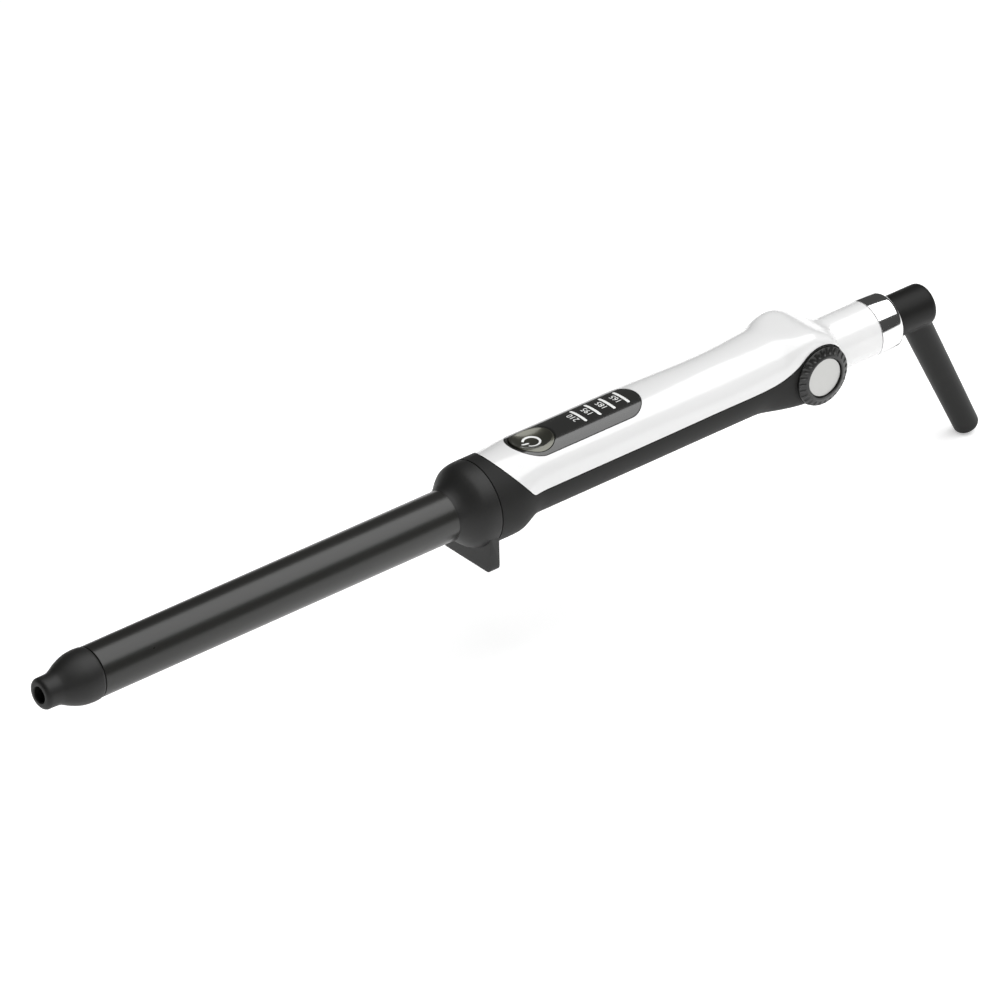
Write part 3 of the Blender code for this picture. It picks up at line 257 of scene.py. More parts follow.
flank = through([(TIP_SEAM - 0.9 * MM, 9.75 * MM), (TIP_SEAM - 3.0 * MM, 9.85 * MM),
                 (TIP_SEAM - 6.2 * MM, 9.6 * MM), (TIP_SEAM - 8.9 * MM, 8.9 * MM),
                 (TIP_SEAM - 11.4 * MM, 7.9 * MM), (TIP_X + 8.2 * MM, 6.75 * MM), (TIP_X + 6.4 * MM, 6.05 * MM),
                 (TIP_X + 4.0 * MM, TIP_NOSE_R), (TIP_X + 1.9 * MM, TIP_NOSE_R)])
nose = [(TIP_X + TIP_EDGE - TIP_EDGE * math.sin(math.radians(a)),
         TIP_NOSE_R - TIP_EDGE + TIP_EDGE * math.cos(math.radians(a))) for a in range(15, 91, 15)]
inside = [(TIP_X, TIP_HOLE_R + 0.3 * MM), (TIP_X + 0.3 * MM, TIP_HOLE_R), (TIP_X + TIP_HOLE_DEPTH, TIP_HOLE_R),
          (TIP_X + TIP_HOLE_DEPTH, SCREW_BORE_R), (TIP_SEAM + 8.0 * MM, SCREW_BORE_R)]
outside = [(TIP_SEAM + 8.0 * MM, TIP_SPIGOT_R), (TIP_SEAM, TIP_SPIGOT_R), (TIP_SEAM, BARREL_R - 0.15 * MM),
           (TIP_SEAM - 0.15 * MM, BARREL_R)]
tip = turned("cool_tip_cap", outside + flank + nose + inside + outside[:1], bored=True)
smooth(tip, 40.0)
MATT_BLACK = finish("matt_black_plastic", (0.011, 0.011, 0.0105), 0.52, grain=0.55, grain_size=0.35 * MM,
                    Specular_IOR_Level=0.38)
fit(tip, MATT_BLACK, "black_plastic", "handle", "cool_tip")


# --- Collar and stand foot ----------------------------------------------------------------------------------
# Bell-shaped collar, moulded in one with the flat foot that keeps the hot barrel off the table. It slides
# over the barrel and closes the handle's front end.
SEAM_X = 2.05 * MM
COLLAR_LENGTH = 14.2 * MM
BAND_R = 16.0 * MM
MOUTH_X = SEAM_X - COLLAR_LENGTH
SEAT_POCKET_R = 13.2 * MM
FOOT_WIDTH = 27.2 * MM
FOOT_THICK = 4.1 * MM
FOOT_CORNER = 2.4 * MM


def arc(centre, radius, first, last, steps):
    """Points of an arc, in degrees anticlockwise."""
    turns = [math.radians(first + (last - first) * i / steps) for i in range(steps + 1)]
    return [(centre[0] + radius * math.cos(turn), centre[1] + radius * math.sin(turn)) for turn in turns]


def slab(name, outline, thickness, turn=(0.0, 0.0, 0.0), centre=(0.0, 0.0, 0.0)):
    """A flat outline, filled and thickened both ways, then turned and put in its place."""
    bpy.ops.object.select_all(action="DESELECT")
    curve = bpy.data.curves.new(name, "CURVE")
    curve.dimensions = "2D"
    curve.fill_mode = "BOTH"
    curve.extrude = thickness / 2
    spline = curve.splines.new("POLY")
    spline.points.add(len(outline) - 1)
    for point, (u, v) in zip(spline.points, outline):
        point.co = (u, v, 0.0, 1.0)
    spline.use_cyclic_u = True
    piece = bpy.data.objects.new(name, curve)
    bpy.context.scene.collection.objects.link(piece)
    piece.select_set(True)
    bpy.context.view_layer.objects.active = piece
    bpy.ops.object.convert(target="MESH")
    piece = bpy.context.object
    piece.location, piece.rotation_euler = centre, turn
    bpy.ops.object.transform_apply(location=True, rotation=True, scale=True)
    bpy.ops.object.mode_set(mode="EDIT")
    bpy.ops.mesh.select_all(action="SELECT")
    bpy.ops.mesh.remove_doubles(threshold=0.000001)
    bpy.ops.mesh.normals_make_consistent(inside=False)
    bpy.ops.object.mode_set(mode="OBJECT")
    return piece


def shape_with(piece, operation, *tools, solver="EXACT"):
    """Cuts, joins or trims the piece with each tool, and clears the tools away."""
    for tool in tools:
        step = piece.modifiers.new(tool.name, "BOOLEAN")
        step.operation = operation
        step.solver = solver
        step.object = tool
    apply_all(piece)
    for tool in tools:
        bpy.data.objects.remove(tool)


BELL = ((12.2, 15.94), (10.3, 15.7), (8.4, 15.1), (6.7, 13.95), (5.0, 12.45), (3.3, 11.0), (1.6, 9.98),
        (0.35, 9.58))           # the bell's distance behind the mouth and its radius there, in mm
bell = through([(SEAM_X - 0.5 * MM, BAND_R)]
               + [(MOUTH_X + behind * MM, radius * MM) for behind, radius in BELL], 5)
pocket = SEAM_X - 4.4 * MM
lip = BARREL_R + 0.02 * MM
ring = [(SEAM_X, BAND_R - 0.25 * MM), (SEAM_X - 0.1 * MM, BAND_R - 0.06 * MM)] + bell + [
    (MOUTH_X, 9.55 * MM), (MOUTH_X, lip), (MOUTH_X + 2.0 * MM, lip),
    (MOUTH_X + 2.0 * MM, BARREL_R + GAP), (pocket, BARREL_R + GAP), (pocket, SEAT_POCKET_R),
    (SEAM_X, SEAT_POCKET_R), (SEAM_X, BAND_R - 0.25 * MM)]
collar = turned("collar_and_foot", ring, bored=True)
half = FOOT_WIDTH / 2
low = -AXIS_Z
keep = 14.1 * MM
reach = math.degrees(math.asin(8.0 * MM / keep))
plate = [(half, -8.0 * MM)] + arc((half - FOOT_CORNER, low + FOOT_CORNER), FOOT_CORNER, 0.0, -90.0, 10)
plate += arc((FOOT_CORNER - half, low + FOOT_CORNER), FOOT_CORNER, -90.0, -180.0, 10) + [(-half, -8.0 * MM)]
plate += arc((0.0, 0.0), keep, 180.0 + reach, 360.0 - reach, 32)
foot = slab("foot_plate", plate, FOOT_THICK - 0.04 * MM, (math.pi / 2, 0.0, math.pi / 2), (0.0, 0.0, AXIS_Z))
round_edges(foot, 0.8 * MM, segments=5, angle=50.0)
shape_with(collar, "UNION", foot)
smooth(collar, 35.0)
fit(collar, MATT_BLACK, "black_plastic", "handle", "front_collar")


# --- Handle casings -----------------------------------------------------------------------------------------
# Two injection-moulded shells. The glossy white one carries the window, the rounded hump over the dial and
# the neck. The matt black one carries the front band, the underside and the round seats of the dial. Two
# screws join them.
WALL = 1.8 * MM
GRIP_R = 14.2 * MM              # half the grip's width at the window
GRIP_TOP, GRIP_BOTTOM = 16.1 * MM, -11.9 * MM
GRIP_SQUARENESS = 2.5           # 2 is round, more is squarer
WAIST_R = 13.95 * MM
WAIST_TOP = 16.0 * MM
WAIST_SQUARENESS = 2.15
GRIP_START = 24.0 * MM
BAND_FRONT = SEAM_X + GAP
HUMP_HALF_WIDTH = 14.5 * MM
HUMP_TOP = 17.0 * MM
HUMP_BOTTOM = 12.4 * MM
HUMP_SQUARENESS_TOP = 5.9
HUMP_SQUARENESS_BELOW = 5.0
NECK_R = 10.75 * MM
NECK_START = 166.5 * MM
NECK_END = 183.1 * MM
DIAL_X = 150.65 * MM
SEAT_R = 11.7 * MM
SEAT_FACE = 14.6 * MM
SCREW_XS = (86.0 * MM, 126.0 * MM)
WINDOW_HALF_WIDTH = 9.9 * MM
WINDOW_FRONT = 28.45 * MM       # centre of the window's round front end
WINDOW_REAR = 66.4 * MM
waist_x = DIAL_X - 42.0 * MM
half_widths = [(GRIP_START - 14.0 * MM, BAND_R), (GRIP_START, GRIP_R), (WINDOW_REAR, GRIP_R),
               (waist_x, WAIST_R), (DIAL_X - 30.0 * MM, WAIST_R), (DIAL_X - 8.0 * MM, HUMP_HALF_WIDTH),
               (DIAL_X + 9.5 * MM, HUMP_HALF_WIDTH), (NECK_START - 3.0 * MM, NECK_R)]
tops = [(GRIP_START - 14.0 * MM, BAND_R), (GRIP_START + 4.0 * MM, GRIP_TOP), (WINDOW_REAR, GRIP_TOP),
        (waist_x, WAIST_TOP), (DIAL_X - 30.0 * MM, WAIST_TOP), (DIAL_X - 3.0 * MM, HUMP_TOP),
        (NECK_START - 1.9 * MM, NECK_R)]
bottoms = [(GRIP_START - 10.5 * MM, -BAND_R), (GRIP_START - 1.0 * MM, GRIP_BOTTOM),
           (DIAL_X - 16.0 * MM, GRIP_BOTTOM), (DIAL_X, -HUMP_BOTTOM), (NECK_START, -NECK_R)]
squareness_top = [(GRIP_START - 14.0 * MM, 2.0), (GRIP_START, GRIP_SQUARENESS), (WINDOW_REAR, GRIP_SQUARENESS),
                  (waist_x, WAIST_SQUARENESS), (DIAL_X - 16.0 * MM, GRIP_SQUARENESS),
                  (DIAL_X - 3.3 * MM, HUMP_SQUARENESS_TOP), (DIAL_X + 5.1 * MM, HUMP_SQUARENESS_TOP),
                  (DIAL_X + 13.0 * MM, 2.0)]
squareness_below = [(DIAL_X - 26.0 * MM, 2.0), (DIAL_X - 2.0 * MM, HUMP_SQUARENESS_BELOW),
                    (DIAL_X + 5.0 * MM, HUMP_SQUARENESS_BELOW), (NECK_START, 2.0)]


def eased(keys, x):
    """A measure that eases from key to key along the handle."""
    if x <= keys[0][0]:
        return keys[0][1]
    for (x0, v0), (x1, v1) in zip(keys, keys[1:]):
        if x <= x1:
            t = (x - x0) / (x1 - x0)
            return v0 + (v1 - v0) * t * t * (3 - 2 * t)
    return keys[-1][1]


def handle_blank(name, inset, start, end, around=144, rings=180):
    """A drum whose every ring follows the handle's section: round at the band, squarer at the dial."""
    bpy.ops.object.select_all(action="DESELECT")
    bpy.ops.mesh.primitive_cylinder_add(vertices=around, radius=1.0, depth=1.0, rotation=(0.0, math.pi / 2, 0.0))
    blank = bpy.context.object
    blank.name = blank.data.name = name
    bpy.ops.object.transform_apply(location=True, rotation=True, scale=True)
    bpy.ops.object.mode_set(mode="EDIT")
    bpy.ops.mesh.select_mode(type="EDGE")
    bpy.ops.mesh.select_all(action="DESELECT")
    bpy.ops.object.mode_set(mode="OBJECT")
    for edge in blank.data.edges:
        one, other = (blank.data.vertices[i].co.x for i in edge.vertices)
        edge.select = abs(one - other) > 0.5
    bpy.ops.object.mode_set(mode="EDIT")
    bpy.ops.mesh.subdivide(number_cuts=rings)
    bpy.ops.mesh.select_mode(type="VERT")
    bpy.ops.object.mode_set(mode="OBJECT")
    for vertex in blank.data.vertices:
        x = start + (vertex.co.x + 0.5) * (end - start)
        turn = math.atan2(vertex.co.z, vertex.co.y)
        power = 2.0 / eased(squareness_top if vertex.co.z > 0.0 else squareness_below, x)
        half_wide = eased(half_widths, x) - inset
        top, bottom = eased(tops, x) - inset, eased(bottoms, x) + inset
        across, up = math.cos(turn), math.sin(turn)
        vertex.co = (x, half_wide * math.copysign(abs(across) ** power, across),
                     AXIS_Z + (top + bottom) / 2 + (top - bottom) / 2 * math.copysign(abs(up) ** power, up))
    return blank


# the line where the two shells meet, seen from the side: down the band, along the grip, over and round the dial
SPLIT_HEIGHT = 3.0 * MM
SPLIT_TOP_X = 7.35 * MM
SPLIT_SLANT = 0.80
SPLIT_FILLET = 2.6 * MM
split_dial_r = SEAT_R + GAP / 2
above = 6.0 * MM
line = [(SPLIT_TOP_X - above * SPLIT_SLANT, BAND_R + above)]
slant = math.degrees(math.atan2(1.0, SPLIT_SLANT))
fillet_x = (SPLIT_TOP_X + (BAND_R - SPLIT_HEIGHT) * SPLIT_SLANT
            + SPLIT_FILLET / math.tan(math.radians((180.0 - slant) / 2)))
line += arc((fillet_x, SPLIT_HEIGHT + SPLIT_FILLET), SPLIT_FILLET, 270.0 - slant, 270.0, 10)
leave = math.radians(128.0)
meet = Vector((DIAL_X + split_dial_r * math.cos(leave), split_dial_r * math.sin(leave)))
begin = Vector((DIAL_X - 46.0 * MM, SPLIT_HEIGHT))
pull_in, pull_out = Vector((20.0 * MM, 0.0)), Vector((math.sin(leave), -math.cos(leave))) * 12.0 * MM
for i in range(31):
    t = i / 30
    line.append(tuple(begin * (1 - t) ** 3 + (begin + pull_in) * 3 * t * (1 - t) ** 2
                      + (meet - pull_out) * 3 * t ** 2 * (1 - t) + meet * t ** 3))
line += arc((DIAL_X, 0.0), split_dial_r, 128.0, -35.0, 60)[1:]
drop = BAND_R + above + line[-1][1]
line.append((line[-1][0] - drop * math.tan(math.radians(35.0)), -BAND_R - above))


def beside(points, distance):
    """The line moved to its left."""
    moved = []
    for i, point in enumerate(points):
        run = Vector(points[min(i + 1, len(points) - 1)]) - Vector(points[max(i - 1, 0)])
        moved.append((point[0] - run.y / run.length * distance, point[1] + run.x / run.length * distance))
    return moved


def side_block(name, outline):
    return slab(name, outline, 4 * BAND_R, (math.pi / 2, 0.0, 0.0), (0.0, 0.0, AXIS_Z))


def window_shape(inset, steps=32):
    """The window seen from above: a slot with round ends."""
    radius = WINDOW_HALF_WIDTH - inset
    return (arc((WINDOW_REAR, 0.0), radius, -90.0, 90.0, steps)
            + arc((WINDOW_FRONT, 0.0), radius, 90.0, 270.0, steps))


upper_line, lower_line = beside(line, GAP / 2), beside(line, -GAP / 2)
far_x, near_x, high = NECK_END + 16 * MM, BAND_FRONT - 8 * MM, 2 * BAND_R
OVER_AXIS = (0.0, 0.0, AXIS_Z + BAND_R)         # where a shape stands that only reaches the handle's upper half

upper = handle_blank("white_casing", 0.0, BAND_FRONT, NECK_END)
above = [(far_x, upper_line[-1][1]), (far_x, high), (upper_line[0][0], high)]
shape_with(upper, "INTERSECT", side_block("upper_side", upper_line + above), solver="MANIFOLD")
shape_with(upper, "DIFFERENCE", handle_blank("hollow", WALL, BAND_FRONT - 2 * MM, NECK_END + 2 * MM, 64, 70),
           slab("window_hole", window_shape(0.0), BAND_R, centre=OVER_AXIS), solver="MANIFOLD")
smooth(upper, 30.0)
GLOSS_WHITE = finish("gloss_white_plastic", (0.80, 0.80, 0.80), 0.22, grain=0.03, grain_size=1.5 * MM,
                     worn=0.015, Coat_Weight=0.6, Coat_Roughness=0.08)
fit(upper, GLOSS_WHITE, "white_casing", "handle", "upper_casing")

lower = handle_blank("black_casing", 0.0, BAND_FRONT, NECK_END)
ahead = [(near_x, lower_line[-1][1]), (near_x, lower_line[0][1])]
shape_with(lower, "INTERSECT", side_block("lower_side", lower_line + ahead), solver="MANIFOLD")
inner = HUMP_HALF_WIDTH - WALL - GAP
crown = slab("crown_space", [(-1.2 * SEAT_R, 1.5 * MM - inner), (1.2 * SEAT_R, 1.5 * MM - inner),
                             (1.2 * SEAT_R, inner - 1.5 * MM), (-1.2 * SEAT_R, inner - 1.5 * MM)], 2 * BAND_R,
             centre=(DIAL_X, 0.0, AXIS_Z + SEAT_R / 2 + BAND_R))
shape_with(lower, "DIFFERENCE", handle_blank("hollow", WALL, BAND_FRONT - 2 * MM, NECK_END + 2 * MM, 64, 70),
           crown, solver="MANIFOLD")
seats = [turned("dial_seat", [(side * (inner - 0.2 * MM), SEAT_R), (side * (SEAT_FACE - 0.2 * MM), SEAT_R),
                              (side * SEAT_FACE, SEAT_R - 0.2 * MM)], 96, (DIAL_X, 0.0, AXIS_Z), "Y")
         for side in (-1, 1)]
bosses = [turned("screw_boss", [(-7.0 * MM, 4.2 * MM), (-11.05 * MM, 4.2 * MM)], 32, (x, 0.0, AXIS_Z), "Z")
          for x in SCREW_XS]
shape_with(lower, "UNION", *seats, *bosses, solver="MANIFOLD")
hub_hole = turned("hub_hole", [(-40 * MM, 6.3 * MM), (40 * MM, 6.3 * MM)], 64, (DIAL_X, 0.0, AXIS_Z), "Y")
holes = [turned("screw_hole", [(0.8 * MM, 1.5 * MM), (-9.5 * MM, 1.5 * MM), (-9.5 * MM, 2.7 * MM),
                               (-16.0 * MM, 2.7 * MM)], 32, (x, 0.0, AXIS_Z), "Z") for x in SCREW_XS]
shape_with(lower, "DIFFERENCE", *holes, hub_hole, solver="MANIFOLD")
smooth(lower, 30.0)
SATIN_BLACK = finish("satin_black_plastic", (0.016, 0.016, 0.0155), 0.58, grain=0.45, grain_size=0.35 * MM,
                     Specular_IOR_Level=0.18)
fit(lower, SATIN_BLACK, "black_plastic", "handle", "lower_casing")

# --- Display window -----------------------------------------------------------------------------------------
# Smoked acrylic lens, moulded to the handle's curve and set flush in its opening. The power button comes up
# through its front end. The four heat levels, a bar and a number each, are printed on it in white.
LENS_THICK = 1.6 * MM
BUTTON_R = WINDOW_HALF_WIDTH - 1.8 * MM
lens_front, lens_rear = WINDOW_FRONT - 1.5 * WINDOW_HALF_WIDTH, WINDOW_REAR + 1.5 * WINDOW_HALF_WIDTH
lens = handle_blank("display_lens", 0.05 * MM, lens_front, lens_rear, 240, 60)
lens_hole_r = BUTTON_R + GAP
lens_hole = turned("lens_hole", [(0.0, lens_hole_r), (15.3 * MM, lens_hole_r),
                                 (18.0 * MM, lens_hole_r + 2.7 * MM)], 96, (WINDOW_FRONT, 0.0, AXIS_Z), "Z")
shape_with(lens, "DIFFERENCE",
           handle_blank("lens_underside", LENS_THICK, lens_front - 2 * MM, lens_rear + 2 * MM, 96, 40),
           solver="MANIFOLD")
shape_with(lens, "INTERSECT", slab("lens_outline", window_shape(GAP), BAND_R, centre=OVER_AXIS),
           solver="MANIFOLD")
shape_with(lens, "DIFFERENCE", lens_hole, solver="MANIFOLD")
smooth(lens, 25.0)
# Painted shade: a thin near-black sheet fills the gap round the lens, 0.22 mm under the casing's surface,
# standing in for the dark gap between lens and casing.
shade_inner, shade_outer = GAP - 0.03 * MM, 0.03 * MM
gap_shade = handle_blank("window_gap_shade", 0.22 * MM, lens_front, lens_rear, 240, 60)
shape_with(gap_shade, "DIFFERENCE",
           handle_blank("gap_shade_underside", LENS_THICK, lens_front - 2 * MM, lens_rear + 2 * MM, 96, 40),
           solver="MANIFOLD")
shape_with(gap_shade, "INTERSECT", slab("gap_shade_outside", window_shape(shade_outer), BAND_R, centre=OVER_AXIS),
           solver="MANIFOLD")
shape_with(gap_shade, "DIFFERENCE", slab("gap_shade_inside", window_shape(shade_inner), 2 * BAND_R, centre=OVER_AXIS),
           solver="MANIFOLD")
smooth(gap_shade, 25.0)
# Finish of the painted gap shade: near black and matt.
GAP_SHADE = finish("painted_gap_shade", (0.008, 0.008, 0.008), 0.65, grain=0.3, grain_size=0.2 * MM,
                Specular_IOR_Level=0.3)
fit(gap_shade, GAP_SHADE, "black_plastic", "handle")
SMOKED = finish("smoked_acrylic", (0.022, 0.022, 0.021), 0.16, grain=0.02, grain_size=2.0 * MM, worn=0.03,
                Coat_Weight=0.6, Coat_Roughness=0.06, Specular_IOR_Level=0.5)
fit(lens, SMOKED, "smoked_window", "handle", "display_window")

BAR_FIRST, BAR_PITCH = 50.6 * MM, 6.55 * MM
BAR_LENGTH, BAR_WIDE = 9.4 * MM, 1.15 * MM
BAR_ASIDE = 0.8 * MM
INK = 0.03 * MM                 # how far the print stands on the lens
DIGIT_HEIGHT = 2.5 * MM


def numeral(text, height):
    """A number as a thick flat shape, its top towards the cool tip."""
    bpy.ops.object.select_all(action="DESELECT")
    bpy.ops.object.text_add()
    piece = bpy.context.object
    piece.data.body = text
    piece.data.align_x = "CENTER"
    piece.data.size = height / 0.7
    piece.data.extrude = BAND_R / 2
    piece.data.resolution_u = 6
    bpy.ops.object.convert(target="MESH")
    piece = bpy.context.object
    bpy.ops.object.mode_set(mode="EDIT")
    bpy.ops.mesh.select_all(action="SELECT")
    bpy.ops.mesh.remove_doubles(threshold=0.000001)
    bpy.ops.mesh.normals_make_consistent(inside=False)
    bpy.ops.object.mode_set(mode="OBJECT")
    return piece


def printed(name, shape, low, high):
    """Ink in the outline of an upright shape, following the handle's curve."""
    ink = handle_blank(name, 0.05 * MM - INK, low, high, 288, 12)
    shape_with(ink, "DIFFERENCE", handle_blank("ink_back", 0.12 * MM, low - 1 * MM, high + 1 * MM, 288, 14),
               solver="MANIFOLD")
    shape_with(ink, "INTERSECT", shape)
    return ink


WHITE_INK = finish("white_ink", (0.84, 0.85, 0.84), 0.42, grain=0.10, grain_size=0.15 * MM, worn=0.03)
for number, level in enumerate(("210", "195", "185", "165"), start=1):
    x = BAR_FIRST + (number - 1) * BAR_PITCH
    run = BAR_LENGTH / 2 - BAR_WIDE / 2
    outline = (arc((x, BAR_ASIDE + run), BAR_WIDE / 2, 0.0, 180.0, 10)
               + arc((x, BAR_ASIDE - run), BAR_WIDE / 2, 180.0, 360.0, 10))
    bar = printed(f"level_bar_{number}", slab("bar_shape", outline, BAND_R, centre=OVER_AXIS),
                  x - 2 * MM, x + 2 * MM)
    digits = numeral(level, DIGIT_HEIGHT)
    digits.location = (x - BAR_WIDE / 2 - 0.75 * MM, BAR_ASIDE, AXIS_Z + BAND_R)
    digits.rotation_euler = (0.0, 0.0, math.pi / 2)
    bpy.ops.object.transform_apply(location=True, rotation=True, scale=True)
    label = printed(f"level_number_{number}", digits, x - 6 * MM, x + 1 * MM)
    for piece in (bar, label):
        smooth(piece, 25.0)
        fit(piece, WHITE_INK, "lamp_plastic", "handle")


# --- Power button -------------------------------------------------------------------------------------------
# Moulded button with a dished top, in the window's front end. Its stem presses the push switch on the board,
# and a coil spring brings it back. The on and off sign is printed in the dish.
BUTTON_DISH = 2.0 * MM
DISH_SPHERE = 16.0 * MM
BUTTON_UNDERSIDE = 12.0 * MM
STEM_R = 1.5 * MM
STEM_END = 9.3 * MM
dish_low = GRIP_TOP - BUTTON_DISH


def ball(name, radius, centre, sides=128, steps=180):
    """A round ball, turned about an upright line."""
    half_circle = [(-radius * math.cos(math.pi * i / steps), radius * math.sin(math.pi * i / steps))
                   for i in range(1, steps)]
    return turned(name, half_circle, sides, centre, "Z")


dish_centre = (WINDOW_FRONT, 0.0, AXIS_Z + dish_low + DISH_SPHERE)
button = handle_blank("power_button_cap", 0.0, WINDOW_FRONT - 10 * MM, WINDOW_FRONT + 10 * MM, 240, 40)
button_place = (WINDOW_FRONT, 0.0, AXIS_Z)
button_shape = turned("button_shape", [(BUTTON_UNDERSIDE, BUTTON_R), (2 * BAND_R, BUTTON_R)], 128,
                      button_place, "Z")
shape_with(button, "INTERSECT", button_shape, solver="MANIFOLD")
shape_with(button, "DIFFERENCE", ball("button_dish", DISH_SPHERE, dish_centre), solver="MANIFOLD")
stem = turned("button_stem", [(BUTTON_UNDERSIDE + 0.5 * MM, STEM_R), (STEM_END, STEM_R)], 48, button_place, "Z")
shape_with(button, "UNION", stem, solver="MANIFOLD")
round_edges(button, 0.15 * MM, 2, 40.0)
smooth(button, 30.0)
BUTTON_GLOSS = finish("button_gloss", (0.10, 0.10, 0.08), 0.28, metallic=0.8, grain=0.03, grain_size=1.0 * MM,
                      worn=0.04, Coat_Weight=0.7, Coat_Roughness=0.08)
fit(button, BUTTON_GLOSS, "button_plastic", "button", "power_button")

SIGN_R, SIGN_LINE = 3.1 * MM, 0.85 * MM
sign_gap = 34.0
open_ring = (arc((0.0, 0.0), SIGN_R + SIGN_LINE / 2, sign_gap - 180.0, 180.0 - sign_gap, 48)
             + arc((0.0, 0.0), SIGN_R - SIGN_LINE / 2, 180.0 - sign_gap, sign_gap - 180.0, 48))
dash = (arc((-SIGN_R - 0.9 * MM, 0.0), SIGN_LINE / 2, 90.0, 270.0, 8)
        + arc((-SIGN_R + 1.5 * MM, 0.0), SIGN_LINE / 2, -90.0, 90.0, 8))
for name, outline in (("on_sign_ring", open_ring), ("on_sign_dash", dash)):
    sign = ball(name, DISH_SPHERE + 0.10 * MM, dish_centre)
    shape_with(sign, "DIFFERENCE", ball("sign_back", DISH_SPHERE - INK, dish_centre), solver="MANIFOLD")
    shape_with(sign, "INTERSECT", slab("sign_shape", outline, 8.0 * MM,
                                       centre=(WINDOW_FRONT, 0.0, AXIS_Z + dish_low)))
    smooth(sign, 25.0)
    fit(sign, WHITE_INK, "lamp_plastic", "button")


# --- Temperature dial ---------------------------------------------------------------------------------------
# A knob on each side of one steel spindle, moulded in black with shallow scoops round its sloping rim for the
# fingers. A disc of brushed aluminium is glued in the recess of each knob.
DIAL_R = 11.4 * MM
DIAL_FACE_R = 8.6 * MM
DIAL_BASE = 14.9 * MM
DIAL_RIM = 0.8 * MM
DIAL_FACE = 17.1 * MM
DIAL_RECESS = 1.5 * MM
HUB_R = 6.0 * MM
HUB_LENGTH = 4.4 * MM
SPINDLE_BORE = 3.3 * MM
BADGE_R = 7.4 * MM
BADGE_THICK = 0.5 * MM
SCOOPS = 26
SCOOP = (1.05 * MM, 1.75 * MM, 0.80 * MM)        # half its width round the rim, its length and its depth


def scoop_tool(side):
    """All the scoops of one knob: a flattened ball on the rim's slope, copied round the dial's axis."""
    slope = math.atan2(DIAL_FACE - DIAL_BASE - DIAL_RIM, DIAL_R - DIAL_FACE_R)
    middle = ((DIAL_R + DIAL_FACE_R) / 2 + 0.35 * MM, (DIAL_FACE + DIAL_BASE + DIAL_RIM) / 2)
    out = 0.18 * MM
    bpy.ops.object.select_all(action="DESELECT")
    bpy.ops.mesh.primitive_uv_sphere_add(segments=32, ring_count=20, radius=1.0)
    first = bpy.context.object
    first.scale = SCOOP
    bpy.ops.object.transform_apply(location=True, rotation=True, scale=True)
    first.rotation_euler = (-slope, 0.0, 0.0)
    first.location = (0.0, middle[0] + out * math.sin(slope), middle[1] + out * math.cos(slope))
    bpy.ops.object.transform_apply(location=True, rotation=True, scale=True)
    scoops = [first]
    for i in range(1, SCOOPS):
        copy = bpy.data.objects.new("scoop", first.data.copy())
        bpy.context.scene.collection.objects.link(copy)
        copy.rotation_euler = (0.0, 0.0, math.tau * i / SCOOPS)
        scoops.append(copy)
    bpy.ops.object.select_all(action="DESELECT")
    for piece in scoops:
        piece.select_set(True)
    bpy.context.view_layer.objects.active = first
    bpy.ops.object.transform_apply(location=True, rotation=True, scale=True)
    bpy.ops.object.join()
    tool = bpy.context.object
    tool.name = "scoops"
    tool.rotation_euler = (math.radians(-90.0 * side), 0.0, 0.0)
    tool.location = (DIAL_X, 0.0, AXIS_Z)
    bpy.ops.object.transform_apply(location=True, rotation=True, scale=True)
    return tool


def close_ends():
    """Fills the open ends of the piece in hand and turns its faces outwards."""
    bpy.ops.object.mode_set(mode="EDIT")
    bpy.ops.mesh.select_all(action="DESELECT")
    bpy.ops.mesh.select_non_manifold()
    bpy.ops.mesh.edge_face_add()
    bpy.ops.mesh.select_all(action="SELECT")
    bpy.ops.mesh.normals_make_consistent(inside=False)
    bpy.ops.object.mode_set(mode="OBJECT")


floor_of_recess = DIAL_FACE - DIAL_RECESS
rim_top = DIAL_BASE + DIAL_RIM
hub_end = DIAL_BASE - HUB_LENGTH
knob_line = [(floor_of_recess, BADGE_R + GAP), (DIAL_FACE - 0.15 * MM, BADGE_R + GAP)]
knob_line += [(DIAL_FACE, BADGE_R + GAP + 0.15 * MM), (DIAL_FACE, DIAL_FACE_R - 0.35 * MM),
              (DIAL_FACE - 0.06 * MM, DIAL_FACE_R - 0.08 * MM)]
knob_line += [(rim_top + 0.12 * MM, DIAL_R - 0.3 * MM), (rim_top - 0.05 * MM, DIAL_R - 0.06 * MM),
              (rim_top - 0.25 * MM, DIAL_R), (DIAL_BASE + 0.2 * MM, DIAL_R), (DIAL_BASE, DIAL_R - 0.2 * MM)]
knob_line += [(DIAL_BASE, HUB_R), (hub_end + 0.3 * MM, HUB_R), (hub_end, HUB_R - 0.3 * MM),
              (hub_end, SPINDLE_BORE), (DIAL_BASE - 1.0 * MM, SPINDLE_BORE)]
KNOB_BLACK = finish("knob_black_plastic", (0.012, 0.012, 0.0115), 0.30, grain=0.20, grain_size=0.35 * MM)
BRUSHED = finish("brushed_aluminium", (0.45, 0.45, 0.44), 0.34, metallic=1.0, grain=0.5, grain_size=0.12 * MM,
                 stretch=(0.04, 1.0, 1.0), Anisotropic=0.5)
disc_back = floor_of_recess + GAP
disc_line = [(disc_back, BADGE_R), (disc_back + BADGE_THICK - 0.12 * MM, BADGE_R),
             (disc_back + BADGE_THICK, BADGE_R - 0.12 * MM), (disc_back + BADGE_THICK, 0.6 * MM)]
